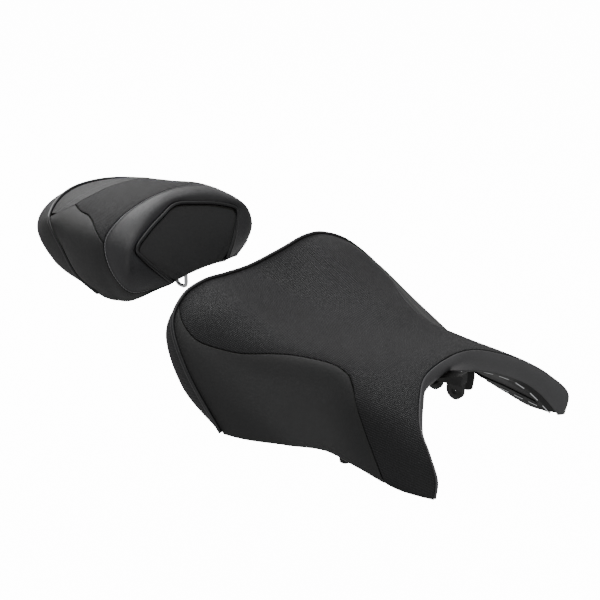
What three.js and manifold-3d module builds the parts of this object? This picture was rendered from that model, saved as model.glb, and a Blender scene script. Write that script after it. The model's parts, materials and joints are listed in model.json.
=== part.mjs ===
// Two-piece motorcycle seat: a rider seat that wraps the back of a fuel tank, and a pillion seat
// drawn 90 mm back from it, at its height on the bike.
// Millimetres. +X points to the front of the bike, +Y to its left and +Z up.
// The origin is on the centre line, on the underside of the steel tongue behind the rider seat.
import * as THREE from 'three';
import { mergeVertices } from 'three/addons/utils/BufferGeometryUtils.js';
import Module from 'manifold-3d';

const wasm = await Module();
wasm.setup();

// ---- driving dimensions ---------------------------------------------------------------------
const HEM = 6; // a section is given from its crown, column 0, round to its hem, column 6
const COVER = 1.5; // vinyl cover
const FOAM_DEPTH = 3.8; // foam face below the outside of the cover
const FOAM_LIFT = 4.5; // foam face above the pan's floor surface
const PAN_INSIDE = 1.6; // pan face towards the foam, above the floor surface
const PAN_OUTSIDE = 1.0; // pan face towards the bike, below the floor surface
const SEAM_GAP = 0.6; // half of the slit between two panels
const PIPING_R = 1.7;
const RIB = 2.4; // thickness of the moulded ribs
const GAP = 0.3; // between pieces that rest on each other

const LUG = { y: 0, thickness: 6, hole: 3.2 };
const TONGUE = { length: 70, width: 60, thickness: 3, rearEnd: -24 };
const TONGUE_SCREW = { x: 30, y: 16, shank: 2.5, head: 4.8, flat: 2.4 }; // flat: depth of the countersunk head
const PIVOT = { x: -330, z: -2 }; // line of the pillion seat's rear hooks
const STRIKER = { x: -124, wire: 2.6, halfSpan: 9, bottom: -17, top: 14 };

// ---- sections of the rider seat, from its rear piping to its front arc ------------------------
const riderSections = [
  [[5, 0, 54], [12, 47, 62], [15, 88, 68], [17, 124, 61], [34, 157, 41], [78, 176, 3], [137, 180, -53]],
  [[55, 0, 42], [58, 45, 49], [62, 88, 58], [65, 128, 53], [82, 157, 26], [119, 171, -10], [174, 174, -48]],
  [[112, 0, 33], [115, 42, 38], [119, 82, 44], [124, 120, 36], [136, 142, 12], [171, 156, -16], [218, 160, -42]],
  [[170, 0, 30], [172, 38, 33], [174, 72, 36], [178, 98, 30], [188, 117, 8], [220, 131, -18], [260, 138, -41]],
  [[222, 0, 32], [223, 32, 32], [225, 60, 32], [229, 80, 26], [237, 97, 6], [264, 113, -22], [302, 127, -52]],
  [[270, 0, 37], [270, 33, 35], [272, 62, 30], [278, 82, 22], [292, 99, 6], [318, 112, -22], [352, 123, -58]],
  [[318, 0, 44], [320, 39, 39], [334, 66, 31], [359, 96, 16], [383, 111, 1], [400, 120, -18], [397, 121, -49]],
];
const riderRearFoot = [[2, 0, 16], [6, 45, 18], [9, 88, 18], [14, 124, 12], [26, 152, -2], [65, 168, -32], [126, 174, -56]];
const riderFrontFoot = [[322, 0, 26], [328, 39, 14], [331, 66, 2], [354, 93, -12], [371, 104, -25], [383, 108, -38], [391, 112, -50]];
const riderRearBulge = [12, 12, 12, 12, 11, 8, 3];
const riderFrontBulge = [5, 5, 5, 5, 5, 5, 2];
const riderBandClear = [0.14, 0.13, 0.13, 0.13, 0.15, 0.17, 0.3];
const riderGussetClear = [0.08, 0.08, 0.08, 0.08, 0.08, 0.1, 0.25];
// How far the pan's floor lies under the cover: down, by section and column, and in towards the middle.
const riderFloorDrop = [36, 36, 35, 34, 33, 28, 18];
const riderFloorShape = [1, 1, 1, 0.88, 0.6, 0.2, -0.03];
const riderFloorInset = [0, 0, 4, 10, 13, 9, 3];

// ---- sections of the pillion seat, from its rear piping to its front panel --------------------
const pillionSections = [
  [[-325, 0, 68], [-315, 38, 68], [-295, 73, 64], [-272, 95, 58], [-241, 102, 34], [-208, 106, 8], [-165, 107, -4]],
  [[-268, 0, 84], [-264, 38, 83], [-254, 72, 76], [-241, 98, 61], [-222, 108, 38], [-194, 111, 11], [-157, 107, -5]],
  [[-210, 0, 97], [-209, 40, 94], [-205, 74, 85], [-198, 102, 68], [-186, 113, 42], [-169, 113, 14], [-148, 106, -6]],
  [[-160, 0, 107], [-160, 42, 103], [-158, 78, 93], [-154, 105, 74], [-147, 115, 46], [-140, 112, 18], [-133, 102, -5]],
  [[-135, 0, 105], [-129, 42, 101], [-119, 77, 89], [-108, 103, 71], [-102, 110, 44], [-105, 103, 18], [-112, 90, -1]],
  [[-130, 0, 97], [-123, 30, 92], [-115, 62, 83], [-108, 87, 70], [-100, 80, 54], [-92, 66, 36], [-87, 49, 17]],
];
const pillionRearFoot = [[-336, 0, 10], [-327, 38, 10], [-306, 70, 8], [-273, 92, 4], [-248, 98, -1], [-216, 101, -3], [-171, 103, -5]];
const pillionFrontFoot = [[-90, 0, 17], [-90, 9, 17], [-90, 17, 17], [-89, 24, 17], [-89, 31, 17], [-88, 39, 17], [-88, 47, 17]];
const pillionRearBulge = [30, 30, 29, 26, 15, 6, 2];
const pillionFrontBulge = [3, 3, 3, 3, 2, 1, 0];
const pillionPanelClear = [0.04, 0.04, 0.06, 0.1, 0.18, 0.36, 0.6];
const pillionGussetClear = [0.06, 0.06, 0.06, 0.07, 0.1, 0.22, 0.5];
// Where the covers start in front of the rear piping and stop behind the front piping.
const pillionRearClear = [0.08, 0.08, 0.08, 0.1, 0.17, 0.38, 1.1];
const pillionFrontClear = [0.28, 0.18, 0.17, 0.17, 0.11, 0.08, 0.07];
const pillionFloorHeight = 10; // of the pan's floor along the centre line

// ---- finishes ---------------------------------------------------------------------------------
const finish = (color, roughness, metalness = 0) =>
  new THREE.MeshStandardMaterial({ color, roughness, metalness });
const FINISH = {
  grip: finish(0x3a3a3e, 0.7),
  smooth: finish(0x2b2b2d, 0.6),
  band: finish(0x3d3d40, 0.55),
  piping: finish(0x08080a, 0.25),
  foam: finish(0x5a5750, 0.95),
  plastic: finish(0x141415, 0.5),
  rubber: finish(0x0c0c0d, 0.8),
  steel: finish(0xb8bcc0, 0.3, 1),
};

// ---- curves and surfaces ----------------------------------------------------------------------
const { lerp, clamp } = THREE.MathUtils;

// Catmull-Rom value through a list of numbers at t = 0 .. length - 1, straight on past its ends.
function through(values, t) {
  const last = values.length - 1;
  const i = clamp(Math.floor(t), 0, last - 1);
  const f = t - i;
  const b = values[i];
  const c = values[i + 1];
  const a = i > 0 ? values[i - 1] : 2 * b - c;
  const d = i + 2 <= last ? values[i + 2] : 2 * c - b;
  return 0.5 * (2 * b + (c - a) * f + (2 * a - 5 * b + 4 * c - d) * f * f + (3 * b - a - 3 * c + d) * f ** 3);
}

// A half section made whole: the right side is the left side mirrored.
const whole = (half) => [...half.slice(1).reverse().map(([x, y, z]) => [x, -y, z]), ...half];

// Point of a whole section at v = -HEM .. HEM.
function onSection(section, v) {
  const at = (axis) => through(section.map((p) => p[axis]), v + HEM);
  return new THREE.Vector3(at(0), at(1), at(2));
}

// A seat cushion's surfaces. u runs from its rear section, 0, to its front one; v runs from the
// right hem, -HEM, over the crown to the left hem, HEM.
class Cushion {
  constructor({ sections, floor, rearFoot, frontFoot, rearBulge, frontBulge }) {
    this.sections = sections.map(whole);
    this.floorSections = floor.map(whole);
    this.front = sections.length - 1;
    this.feet = { rear: whole(rearFoot), front: whole(frontFoot) };
    this.bulges = { rear: rearBulge, front: frontBulge };
  }

  surface(sections, u, v) {
    const columns = sections.map((section) => onSection(section, v));
    const at = (axis) => through(columns.map((p) => p[axis]), u);
    return new THREE.Vector3(at('x'), at('y'), at('z'));
  }

  top(u, v) {
    return this.surface(this.sections, u, v);
  }

  floor(u, v) {
    return this.surface(this.floorSections, u, v);
  }

  // The face that closes an end of the cushion, from its seam, w = 0, to the pan's edge, w = 1.
  end(which, w, v) {
    const rear = which === 'rear';
    const seam = this.top(rear ? 0 : this.front, v);
    const foot = onSection(this.feet[which], v);
    const swell = through(this.bulges[which], Math.abs(v)) * Math.sin(Math.PI * w);
    return seam.lerp(foot, w).add(new THREE.Vector3(rear ? -swell : swell, 0, 0));
  }

  // The same surfaces, moved a depth into the cushion along their normals.
  inTop(u, v, depth) {
    return into((a, b) => this.top(a, b), u, v, depth);
  }

  inFloor(u, v, depth) {
    return into((a, b) => this.floor(a, b), u, v, -depth);
  }

  inEnd(which, w, v, depth) {
    return into((a, b) => this.end(which, a, b), w, v, which === 'rear' ? -depth : depth);
  }
}

// Point of a surface at (a, b), moved against its normal, d/da x d/db, by a depth.
function into(surface, a, b, depth) {
  const step = 0.02;
  const alongA = surface(a + step, b).sub(surface(a - step, b));
  const alongB = surface(a, b + step).sub(surface(a, b - step));
  const normal = alongA.cross(alongB).normalize();
  return surface(a, b).addScaledVector(normal, -depth);
}

// ---- closed bodies ------------------------------------------------------------------------------
const range = (n) => Array.from({ length: n }, (_, i) => i);
const steps = (from, to, n) => range(n + 1).map((i) => lerp(from, to, i / n));

// The body between two grids of points over the same rows and columns.
function between(rows, columns, outer, inner) {
  const points = [];
  for (const side of [outer, inner]) {
    for (const s of rows) {
      for (const t of columns) points.push(side(s, t));
    }
  }
  const nr = rows.length;
  const nc = columns.length;
  const at = (side, i, j) => side * nr * nc + i * nc + j;
  const index = [];
  const quad = (a, b, c, d) => index.push(a, b, c, a, c, d);
  for (let i = 0; i + 1 < nr; i++) {
    for (let j = 0; j + 1 < nc; j++) {
      quad(at(0, i, j), at(0, i + 1, j), at(0, i + 1, j + 1), at(0, i, j + 1));
      quad(at(1, i, j), at(1, i, j + 1), at(1, i + 1, j + 1), at(1, i + 1, j));
    }
    quad(at(0, i, 0), at(1, i, 0), at(1, i + 1, 0), at(0, i + 1, 0));
    quad(at(0, i, nc - 1), at(0, i + 1, nc - 1), at(1, i + 1, nc - 1), at(1, i, nc - 1));
  }
  for (let j = 0; j + 1 < nc; j++) {
    quad(at(0, 0, j), at(0, 0, j + 1), at(1, 0, j + 1), at(1, 0, j));
    quad(at(0, nr - 1, j), at(1, nr - 1, j), at(1, nr - 1, j + 1), at(0, nr - 1, j + 1));
  }
  const geometry = new THREE.BufferGeometry();
  geometry.setAttribute('position', new THREE.Float32BufferAttribute(points.flatMap((p) => p.toArray()), 3));
  geometry.setIndex(index);
  return facingOut(geometry);
}

// The same closed body with its faces turned outwards.
function facingOut(geometry) {
  const p = geometry.getAttribute('position');
  const index = geometry.index.array;
  const [a, b, c] = [new THREE.Vector3(), new THREE.Vector3(), new THREE.Vector3()];
  let volume = 0;
  for (let i = 0; i < index.length; i += 3) {
    a.fromBufferAttribute(p, index[i]);
    b.fromBufferAttribute(p, index[i + 1]);
    c.fromBufferAttribute(p, index[i + 2]);
    volume += a.dot(b.cross(c));
  }
  if (volume < 0) {
    for (let i = 0; i < index.length; i += 3) {
      [index[i + 1], index[i + 2]] = [index[i + 2], index[i + 1]];
    }
  }
  return geometry;
}

// ---- joining and cutting ------------------------------------------------------------------------
function solid(geometry) {
  const bare = geometry.index ? geometry.clone() : geometry.clone();
  bare.deleteAttribute('normal');
  bare.deleteAttribute('uv');
  const merged = mergeVertices(bare, 1e-3);
  return new wasm.Manifold(new wasm.Mesh({
    numProp: 3,
    vertProperties: new Float32Array(merged.attributes.position.array),
    triVerts: new Uint32Array(merged.index.array),
  }));
}

function geometryOf(body) {
  const mesh = body.getMesh();
  const geometry = new THREE.BufferGeometry();
  geometry.setAttribute('position', new THREE.BufferAttribute(mesh.vertProperties, 3));
  geometry.setIndex(new THREE.BufferAttribute(mesh.triVerts, 1));
  return geometry;
}

const box = (x, y, z, cx, cy, cz) => new THREE.BoxGeometry(x, y, z).translate(cx, cy, cz);
const post = (radius, low, high, x, y, sides = 20) =>
  new THREE.CylinderGeometry(radius, radius, high - low, sides)
    .rotateX(Math.PI / 2)
    .translate(x, y, (low + high) / 2);

// ---- seat panels --------------------------------------------------------------------------------
// A panel of cover: map(s, t) gives its (u, v) on the cushion's top for s and t from 0 to 1.
function panel(cushion, map, ns, nt) {
  const at = (depth) => (s, t) => {
    const [u, v] = map(s, t);
    return cushion.inTop(u, v, depth);
  };
  return between(steps(0, 1, ns), steps(0, 1, nt), at(0), at(COVER));
}

// A panel of cover over an end of the cushion. It starts clear of the seam by the w given for each
// column of the section, and ends at the w given for the pan's edge.
function endPanel(cushion, which, clear, to, vEnd, nw, nv) {
  const at = (depth) => (t, v) =>
    cushion.inEnd(which, lerp(through(clear, Math.abs(v)), to, t), v, depth);
  return between(steps(0, 1, nw), steps(-vEnd, vEnd, nv), at(0), at(COVER));
}

// The foam: over the rear end, the top and the front end outside, and the pan's floor below.
function foam(cushion, vEnd, nTop, nEnd, nv) {
  const stops = [
    ...steps(0.85, 0.1, nEnd).map((w) => ['rear', w]),
    ...steps(0.06, cushion.front - 0.06, nTop).map((u) => ['top', u]),
    ...steps(0.1, 0.88, nEnd).map((w) => ['front', w]),
  ];
  const rows = range(stops.length);
  const outer = (row, v) => {
    const [where, a] = stops[row];
    if (where === 'top') return cushion.inTop(a, v, FOAM_DEPTH);
    return cushion.inEnd(where, a, v, FOAM_DEPTH);
  };
  const inner = (row, v) =>
    cushion.inFloor(lerp(0.16, cushion.front - 0.12, row / (rows.length - 1)), v, FOAM_LIFT);
  return between(rows, steps(-vEnd, vEnd, nv), outer, inner);
}

const riderPanGrid = { vEnd: 5.75, nu: 12, nv: 26 };
const pillionPanGrid = { vEnd: 5.6, nu: 8, nv: 22 };

// A pan's moulded plate, between two depths off the cushion's floor.
function panShell(cushion, { vEnd, nu, nv }, inside = PAN_INSIDE, outside = -PAN_OUTSIDE) {
  const rows = steps(0.18, cushion.front - 0.1, nu);
  const columns = steps(-vEnd, vEnd, nv);
  const at = (depth) => (u, v) => cushion.inFloor(u, v, depth);
  return solid(between(rows, columns, at(inside), at(outside)));
}

// The space below a pan that its ribs may fill.
function ribSpace(cushion, vEnd, height, nu, nv) {
  const rows = steps(0.3, cushion.front - 0.3, nu);
  const columns = steps(-vEnd, vEnd, nv);
  const lower = (u, v) => cushion.inFloor(u, v, 0).add(new THREE.Vector3(0, 0, -height));
  return solid(between(rows, columns, (u, v) => cushion.inFloor(u, v, 0.4), lower));
}

// Ribs along and across a pan, where they run inside a space.
function ribs(space, lengthways, crossways, [x0, x1], halfWidth) {
  const length = x1 - x0;
  let grid = null;
  const add = (geometry) => {
    const one = solid(geometry);
    grid = grid ? grid.add(one) : one;
  };
  for (const y of lengthways) add(box(length, RIB, 200, (x0 + x1) / 2, y, 0));
  for (const x of crossways) add(box(RIB, 2 * halfWidth, 200, x, 0, 0));
  return grid.intersect(space);
}

// Piping: a round cord sewn along a section's whole edge.
function piping(section, radius, segments) {
  const path = new THREE.CatmullRomCurve3(steps(-HEM, HEM, segments).map((v) => onSection(section, v)));
  const shape = new THREE.Shape().absarc(0, 0, radius, 0, 2 * Math.PI);
  return new THREE.ExtrudeGeometry(shape, { steps: segments, curveSegments: 3, extrudePath: path });
}

// Boundary of a panel on the cushion: a smooth line through a few (u, v) points, t from 0 to 1.
const line = (...points) => (t) =>
  [0, 1].map((axis) => through(points.map((p) => p[axis]), t * (points.length - 1)));

// Four-sided panel between a lower and an upper line (s runs along them) and two end lines.
const coons = (lower, upper, left, right) => (s, t) =>
  [0, 1].map((k) =>
    lerp(lower(s)[k], upper(s)[k], t) + lerp(left(t)[k], right(t)[k], s)
    - lerp(lerp(lower(0)[k], lower(1)[k], s), lerp(upper(0)[k], upper(1)[k], s), t));

// The same panel on the other side of the seat.
const mirrored = (map) => (s, t) => {
  const [u, v] = map(s, t);
  return [u, -v];
};

// ---- assembly -----------------------------------------------------------------------------------
const seat = new THREE.Group();
seat.name = 'motorcycle_seat';
const riderSeat = new THREE.Group();
const pillionSeat = new THREE.Group();
seat.add(riderSeat, pillionSeat);

function put(group, name, geometry, material, place = {}) {
  const mesh = new THREE.Mesh(geometry, material);
  mesh.name = name;
  mesh.position.set(...(place.at ?? [0, 0, 0]));
  mesh.rotation.set(...(place.turned ?? [0, 0, 0]));
  group.add(mesh);
  return mesh;
}

// ---- rider seat -----------------------------------------------------------------------------------
const riderFloor = riderSections.map((section, k) => {
  if (k === 0) return riderRearFoot;
  if (k === riderSections.length - 1) return riderFrontFoot;
  return section.map(([x, y, z], column) =>
    [x, y - riderFloorInset[column], z - riderFloorDrop[k] * riderFloorShape[column]]);
});
const rider = new Cushion({
  sections: riderSections,
  floor: riderFloor,
  rearFoot: riderRearFoot,
  frontFoot: riderFrontFoot,
  rearBulge: riderRearBulge,
  frontBulge: riderFrontBulge,
});

// Seam between the textured top and the smooth side: along under the shoulder, then down to the hem.
const shoulderSeam = [[0.1, 3.3], [1, 3.4], [2, 3.2], [3, 2.9], [3.8, 2.85], [4.3, 3.1]];
const kneeSeam = [[4.3, 3.1], [4.55, 3.7], [4.65, 4.5], [4.68, 5.3], [4.64, HEM]];
const seamSlit = SEAM_GAP / 32; // in section steps, which are about 32 mm

function buildRiderCovers() {
  const below = shoulderSeam.map(([u, v], i) => [u - (i === 5 ? 2 * seamSlit : 0), v + seamSlit]);
  const behind = kneeSeam.map(([u, v], i) => [u - 2 * seamSlit, v + (i === 0 ? seamSlit : 0)]);
  const side = coons(
    line([0.14, HEM], [4.64 - 2 * seamSlit, HEM]),
    line(...below),
    (t) => [lerp(0.14, 0.1, t), lerp(HEM, 3.3 + seamSlit, t)],
    (t) => line(...behind)(1 - t),
  );
  put(riderSeat, 'rider_side_cover_left', panel(rider, side, 12, 7), FINISH.smooth);
  put(riderSeat, 'rider_side_cover_right', panel(rider, mirrored(side), 12, 7), FINISH.smooth);

  // The top's edge: the shoulder seam, the knee seam, then the hem of the wing.
  const above = line(...shoulderSeam.map(([u, v]) => [u, v - seamSlit]));
  const ahead = line(...kneeSeam.map(([u, v]) => [u + 2 * seamSlit, v]));
  const frontEnd = rider.front - 0.05;
  const edge = (s) => {
    if (s < 0.6) return above(s / 0.6);
    if (s < 0.84) return ahead((s - 0.6) / 0.24);
    return [lerp(4.64 + 2 * seamSlit, frontEnd, (s - 0.84) / 0.16), HEM];
  };
  const top = (s, t) => {
    const across = 2 * t - 1;
    const [u, v] = edge(s);
    return [lerp(lerp(0.07, frontEnd, s), u, Math.abs(across) ** 1.5), v * across];
  };
  put(riderSeat, 'rider_top_cover', panel(rider, top, 20, 16), FINISH.grip);
  put(riderSeat, 'rider_front_band', endPanel(rider, 'front', riderBandClear, 0.96, 5.9, 3, 30), FINISH.band);
  put(riderSeat, 'rider_rear_gusset', endPanel(rider, 'rear', riderGussetClear, 0.92, 5.8, 3, 24), FINISH.smooth);
  put(riderSeat, 'rider_piping', piping(rider.sections[0], PIPING_R, 26), FINISH.piping);
  put(riderSeat, 'rider_foam', foam(rider, 5.1, 12, 2, 20), FINISH.foam);
}

// A lug that hangs from the front of the pan: a plate with a round end and a hole across it.
function lug(x0, x1, topZ, bottomZ, thickness, y) {
  const r = (x1 - x0) / 2;
  const shape = new THREE.Shape();
  shape.moveTo(x0, topZ);
  shape.lineTo(x0, bottomZ + r);
  shape.absarc((x0 + x1) / 2, bottomZ + r, r, Math.PI, 2 * Math.PI, false);
  shape.lineTo(x1, topZ);
  const plate = new THREE.ExtrudeGeometry(shape, { depth: thickness, bevelEnabled: false, curveSegments: 10 });
  return solid(plate.rotateX(Math.PI / 2).translate(0, y + thickness / 2, 0));
}

const acrossHole = (radius, x, z, length) =>
  solid(new THREE.CylinderGeometry(radius, radius, length, 16).translate(x, 0, z));

function buildRiderPan() {
  const space = ribSpace(rider, 4.2, 9, 9, 12);
  let pan = panShell(rider, riderPanGrid);
  pan = pan.add(ribs(space, [-80, -40, 40, 80], [85, 135, 185, 235], [60, 262], 112));
  // the pad above the rear tongue, and the front shelf that carries the two lugs
  const underside = solid(between(
    steps(0.18, rider.front - 0.1, 12),
    steps(-3, 3, 8),
    (u, v) => rider.inFloor(u, v, 0.4),
    (u, v) => rider.inFloor(u, v, -PAN_OUTSIDE).setZ(-60),
  ));
  const { thickness } = TONGUE;
  pan = pan.subtract(solid(box(90, TONGUE.width + 6, 40, 5, 0, thickness + GAP - 20)));
  pan = pan.add(solid(box(36, 50, 40, 30, 0, thickness + GAP + 20)).intersect(underside));
  pan = pan.add(solid(box(38, 28, 3, 325, 0, 20)));
  pan = pan.add(solid(box(26, 26, 8, 303, 0, 16)).intersect(underside));
  pan = pan.add(lug(320, 342, 20, -4, LUG.thickness, LUG.y));
  pan = pan.add(lug(290, 312, 30, -3, LUG.thickness - 1, LUG.y).intersect(underside));
  pan = pan.subtract(acrossHole(LUG.hole, 331, 6, 30)).subtract(acrossHole(LUG.hole, 301, 7, 30));
  for (const side of [-1, 1]) {
    pan = pan.subtract(solid(post(TONGUE_SCREW.shank + GAP, 0, 9.6, TONGUE_SCREW.x, side * TONGUE_SCREW.y, 12)));
  }
  put(riderSeat, 'rider_pan', geometryOf(pan), FINISH.plastic);
}

function buildRiderTongue() {
  const { length, width, thickness, rearEnd } = TONGUE;
  const corner = 8;
  const x1 = rearEnd + length;
  const shape = new THREE.Shape();
  shape.moveTo(x1, -width / 2);
  shape.lineTo(x1, width / 2);
  shape.lineTo(rearEnd + corner, width / 2);
  shape.absarc(rearEnd + corner, width / 2 - corner, corner, Math.PI / 2, Math.PI, false);
  shape.lineTo(rearEnd, corner - width / 2);
  shape.absarc(rearEnd + corner, corner - width / 2, corner, Math.PI, 1.5 * Math.PI, false);
  const blank = new THREE.ExtrudeGeometry(shape, { depth: thickness, bevelEnabled: false, curveSegments: 6 });
  let plate = solid(blank);
  const { x, y, head, shank, flat } = TONGUE_SCREW;
  const turned = (profile, side) => {
    const points = profile.map(([r, z]) => new THREE.Vector2(r, z));
    return new THREE.LatheGeometry(points, 16).rotateX(Math.PI / 2).translate(x, side * y, 0);
  };
  for (const side of [-1, 1]) {
    // a countersunk hole, and a screw whose flat head lies just inside it
    const seat = [[0, -1], [head + GAP + 1, -1], [shank + GAP, flat + GAP], [shank + GAP, 6], [0, 6]];
    plate = plate.subtract(solid(turned(seat, side)));
    const screw = [[0, 0.1], [head - 0.1, 0.1], [shank, flat], [shank, 9], [0, 9]];
    put(riderSeat, `rider_tongue_screw_${side < 0 ? 'right' : 'left'}`, turned(screw, side), FINISH.steel);
  }
  put(riderSeat, 'rider_rear_tongue', geometryOf(plate), FINISH.steel);
}

// A rubber bumper: a round buffer whose foot is a little narrower than its head.
function bumper(radius, height) {
  const profile = [[0, 0], [radius * 0.8, 0], [radius, height * 0.3], [radius, height], [0, height]];
  return new THREE.LatheGeometry(profile.map(([r, z]) => new THREE.Vector2(r, z)), 14).rotateX(Math.PI / 2);
}

// Bumpers stand on the pan's underside, their heads cut to its slope.
function buildBumpers(group, cushion, grid, prefix, list) {
  const cut = panShell(cushion, grid, 30, -PAN_OUTSIDE - GAP);
  for (const [name, x, y, bottom, height, radius] of list) {
    const body = solid(bumper(radius, height).translate(x, y, bottom)).subtract(cut);
    put(group, `${prefix}_bumper_${name}`, geometryOf(body), FINISH.rubber);
  }
}

// ---- pillion seat ---------------------------------------------------------------------------------
// The pillion pan's floor is a shallow tray: level along the middle, turned down to the hem.
const pillionFloor = pillionSections.map((section, k) => {
  if (k === 0) return pillionRearFoot;
  if (k === pillionSections.length - 1) return pillionFrontFoot;
  const [hemX, hemY, hemZ] = section[HEM];
  const middleX = lerp(pillionRearFoot[0][0], pillionFrontFoot[0][0], k / (pillionSections.length - 1));
  return section.map((_, column) => {
    const out = column / HEM;
    return [
      lerp(middleX, hemX, out ** 2),
      (hemY - 3) * out ** 0.85,
      lerp(pillionFloorHeight, hemZ + 1, out ** 3),
    ];
  });
});
const pillion = new Cushion({
  sections: pillionSections,
  floor: pillionFloor,
  rearFoot: pillionRearFoot,
  frontFoot: pillionFrontFoot,
  rearBulge: pillionRearBulge,
  frontBulge: pillionFrontBulge,
});

// Seams: round the front band, across behind the grip panel, and down the grip panel's side.
const bandSeam = [[3.15, 0], [3.14, 1], [3.12, 2], [3.1, 3], [3.35, 4], [3.9, 5], [4.6, HEM]];
const bandSeamU = (v) => through(bandSeam.map(([u]) => u), Math.abs(v));
const rearSeam = [0.95, 0.94, 0.62, 0.1]; // u at v = 0, 1, 2 and 2.6
const rearSeamU = (v) => {
  const a = Math.min(Math.abs(v), 2.6);
  return through(rearSeam, a < 2 ? a : 2 + (a - 2) / 0.6);
};
const gripWidth = [1.7, 2.0, 2.15, 2.5, 3.1]; // v of the grip panel's side, from rear to front
const gripSide = (t) => {
  const v = through(gripWidth, t * (gripWidth.length - 1));
  return [lerp(rearSeamU(v), bandSeamU(v), t), v];
};

function buildPillionCovers() {
  const slit = SEAM_GAP / 40;
  const clear = (list, v) => through(list, Math.abs(v));
  const band = (s, t) => {
    const v = lerp(-HEM, HEM, s);
    return [lerp(bandSeamU(v) + slit, pillion.front - clear(pillionFrontClear, v), t), v];
  };
  put(pillionSeat, 'pillion_front_band', panel(pillion, band, 28, 4), FINISH.band);
  const strip = (s, t) => {
    const v = lerp(-2.3, 2.3, s);
    return [lerp(clear(pillionRearClear, v), rearSeamU(v) - slit, t), v];
  };
  put(pillionSeat, 'pillion_rear_strip', panel(pillion, strip, 14, 2), FINISH.smooth);
  const grip = (s, t) => {
    const v = (gripSide(t)[1] - 2 * slit) * (2 * s - 1);
    return [lerp(rearSeamU(v) + slit, bandSeamU(v) - 2 * slit, t), v];
  };
  put(pillionSeat, 'pillion_grip_panel', panel(pillion, grip, 12, 8), FINISH.grip);

  const inner = (s) => {
    if (s < 0.25) {
      const v = lerp(2.6, 1.7, s / 0.25);
      return [rearSeamU(v) + 2 * slit, v + 2 * slit];
    }
    const [u, v] = gripSide((s - 0.25) / 0.75);
    return [u, v + 2 * slit];
  };
  const side = coons(
    line([pillionRearClear[HEM], HEM], [bandSeamU(HEM) - 6 * slit, HEM]),
    inner,
    (t) => {
      const v = lerp(HEM, inner(0)[1], t);
      return [lerp(clear(pillionRearClear, v), inner(0)[0], t ** 4), v];
    },
    (t) => {
      const v = lerp(HEM, inner(1)[1], t);
      return [bandSeamU(v) - 2 * slit - 4 * slit * (1 - t), v];
    },
  );
  put(pillionSeat, 'pillion_side_cover_left', panel(pillion, side, 12, 7), FINISH.smooth);
  put(pillionSeat, 'pillion_side_cover_right', panel(pillion, mirrored(side), 12, 7), FINISH.smooth);
  put(pillionSeat, 'pillion_front_panel', endPanel(pillion, 'front', pillionPanelClear, 0.96, 5.3, 3, 24), FINISH.smooth);
  put(pillionSeat, 'pillion_rear_gusset', endPanel(pillion, 'rear', pillionGussetClear, 0.92, 5.3, 4, 24), FINISH.smooth);
  put(pillionSeat, 'pillion_rear_piping', piping(pillion.sections[0], PIPING_R, 22), FINISH.piping);
  put(pillionSeat, 'pillion_front_piping', piping(pillion.sections[pillion.front], PIPING_R, 24), FINISH.piping);
  put(pillionSeat, 'pillion_foam', foam(pillion, 5.0, 12, 2, 26), FINISH.foam);
}

function buildPillionPan() {
  const space = ribSpace(pillion, 4.2, 8, 7, 12);
  let pan = panShell(pillion, pillionPanGrid);
  pan = pan.add(ribs(space, [-40, 0, 40], [-285, -240, -195], [-310, -160], 70));
  const underside = solid(between(
    steps(0.12, pillion.front - 0.1, 10),
    steps(-4, 4, 12),
    (u, v) => pillion.inFloor(u, v, 0.4),
    (u, v) => pillion.inFloor(u, v, 0).setZ(-60),
  ));
  // boss over the striker plate, and the two hooks that slide under the bike's rear bridge
  const plateTop = 4.6 + GAP;
  pan = pan.subtract(solid(box(46, 32, 40, STRIKER.x, 0, plateTop - 20)));
  pan = pan.add(solid(box(50, 36, 40, STRIKER.x, 0, plateTop + 20)).intersect(underside));
  for (const side of [-1, 1]) {
    pan = pan.add(solid(box(10, 20, 14, -306, 36 * side, 3)).intersect(underside));
    pan = pan.add(solid(box(36, 20, 4, -319, 36 * side, PIVOT.z)));
    const legX = STRIKER.x + side * STRIKER.halfSpan;
    pan = pan.subtract(solid(post(STRIKER.wire + GAP, -20, 40, legX, 0)));
    pan = pan.subtract(solid(post(2.5, -20, 7.6, STRIKER.x, 10 * side, 12)));
  }
  put(pillionSeat, 'pillion_pan', geometryOf(pan), FINISH.plastic);
}

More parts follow.
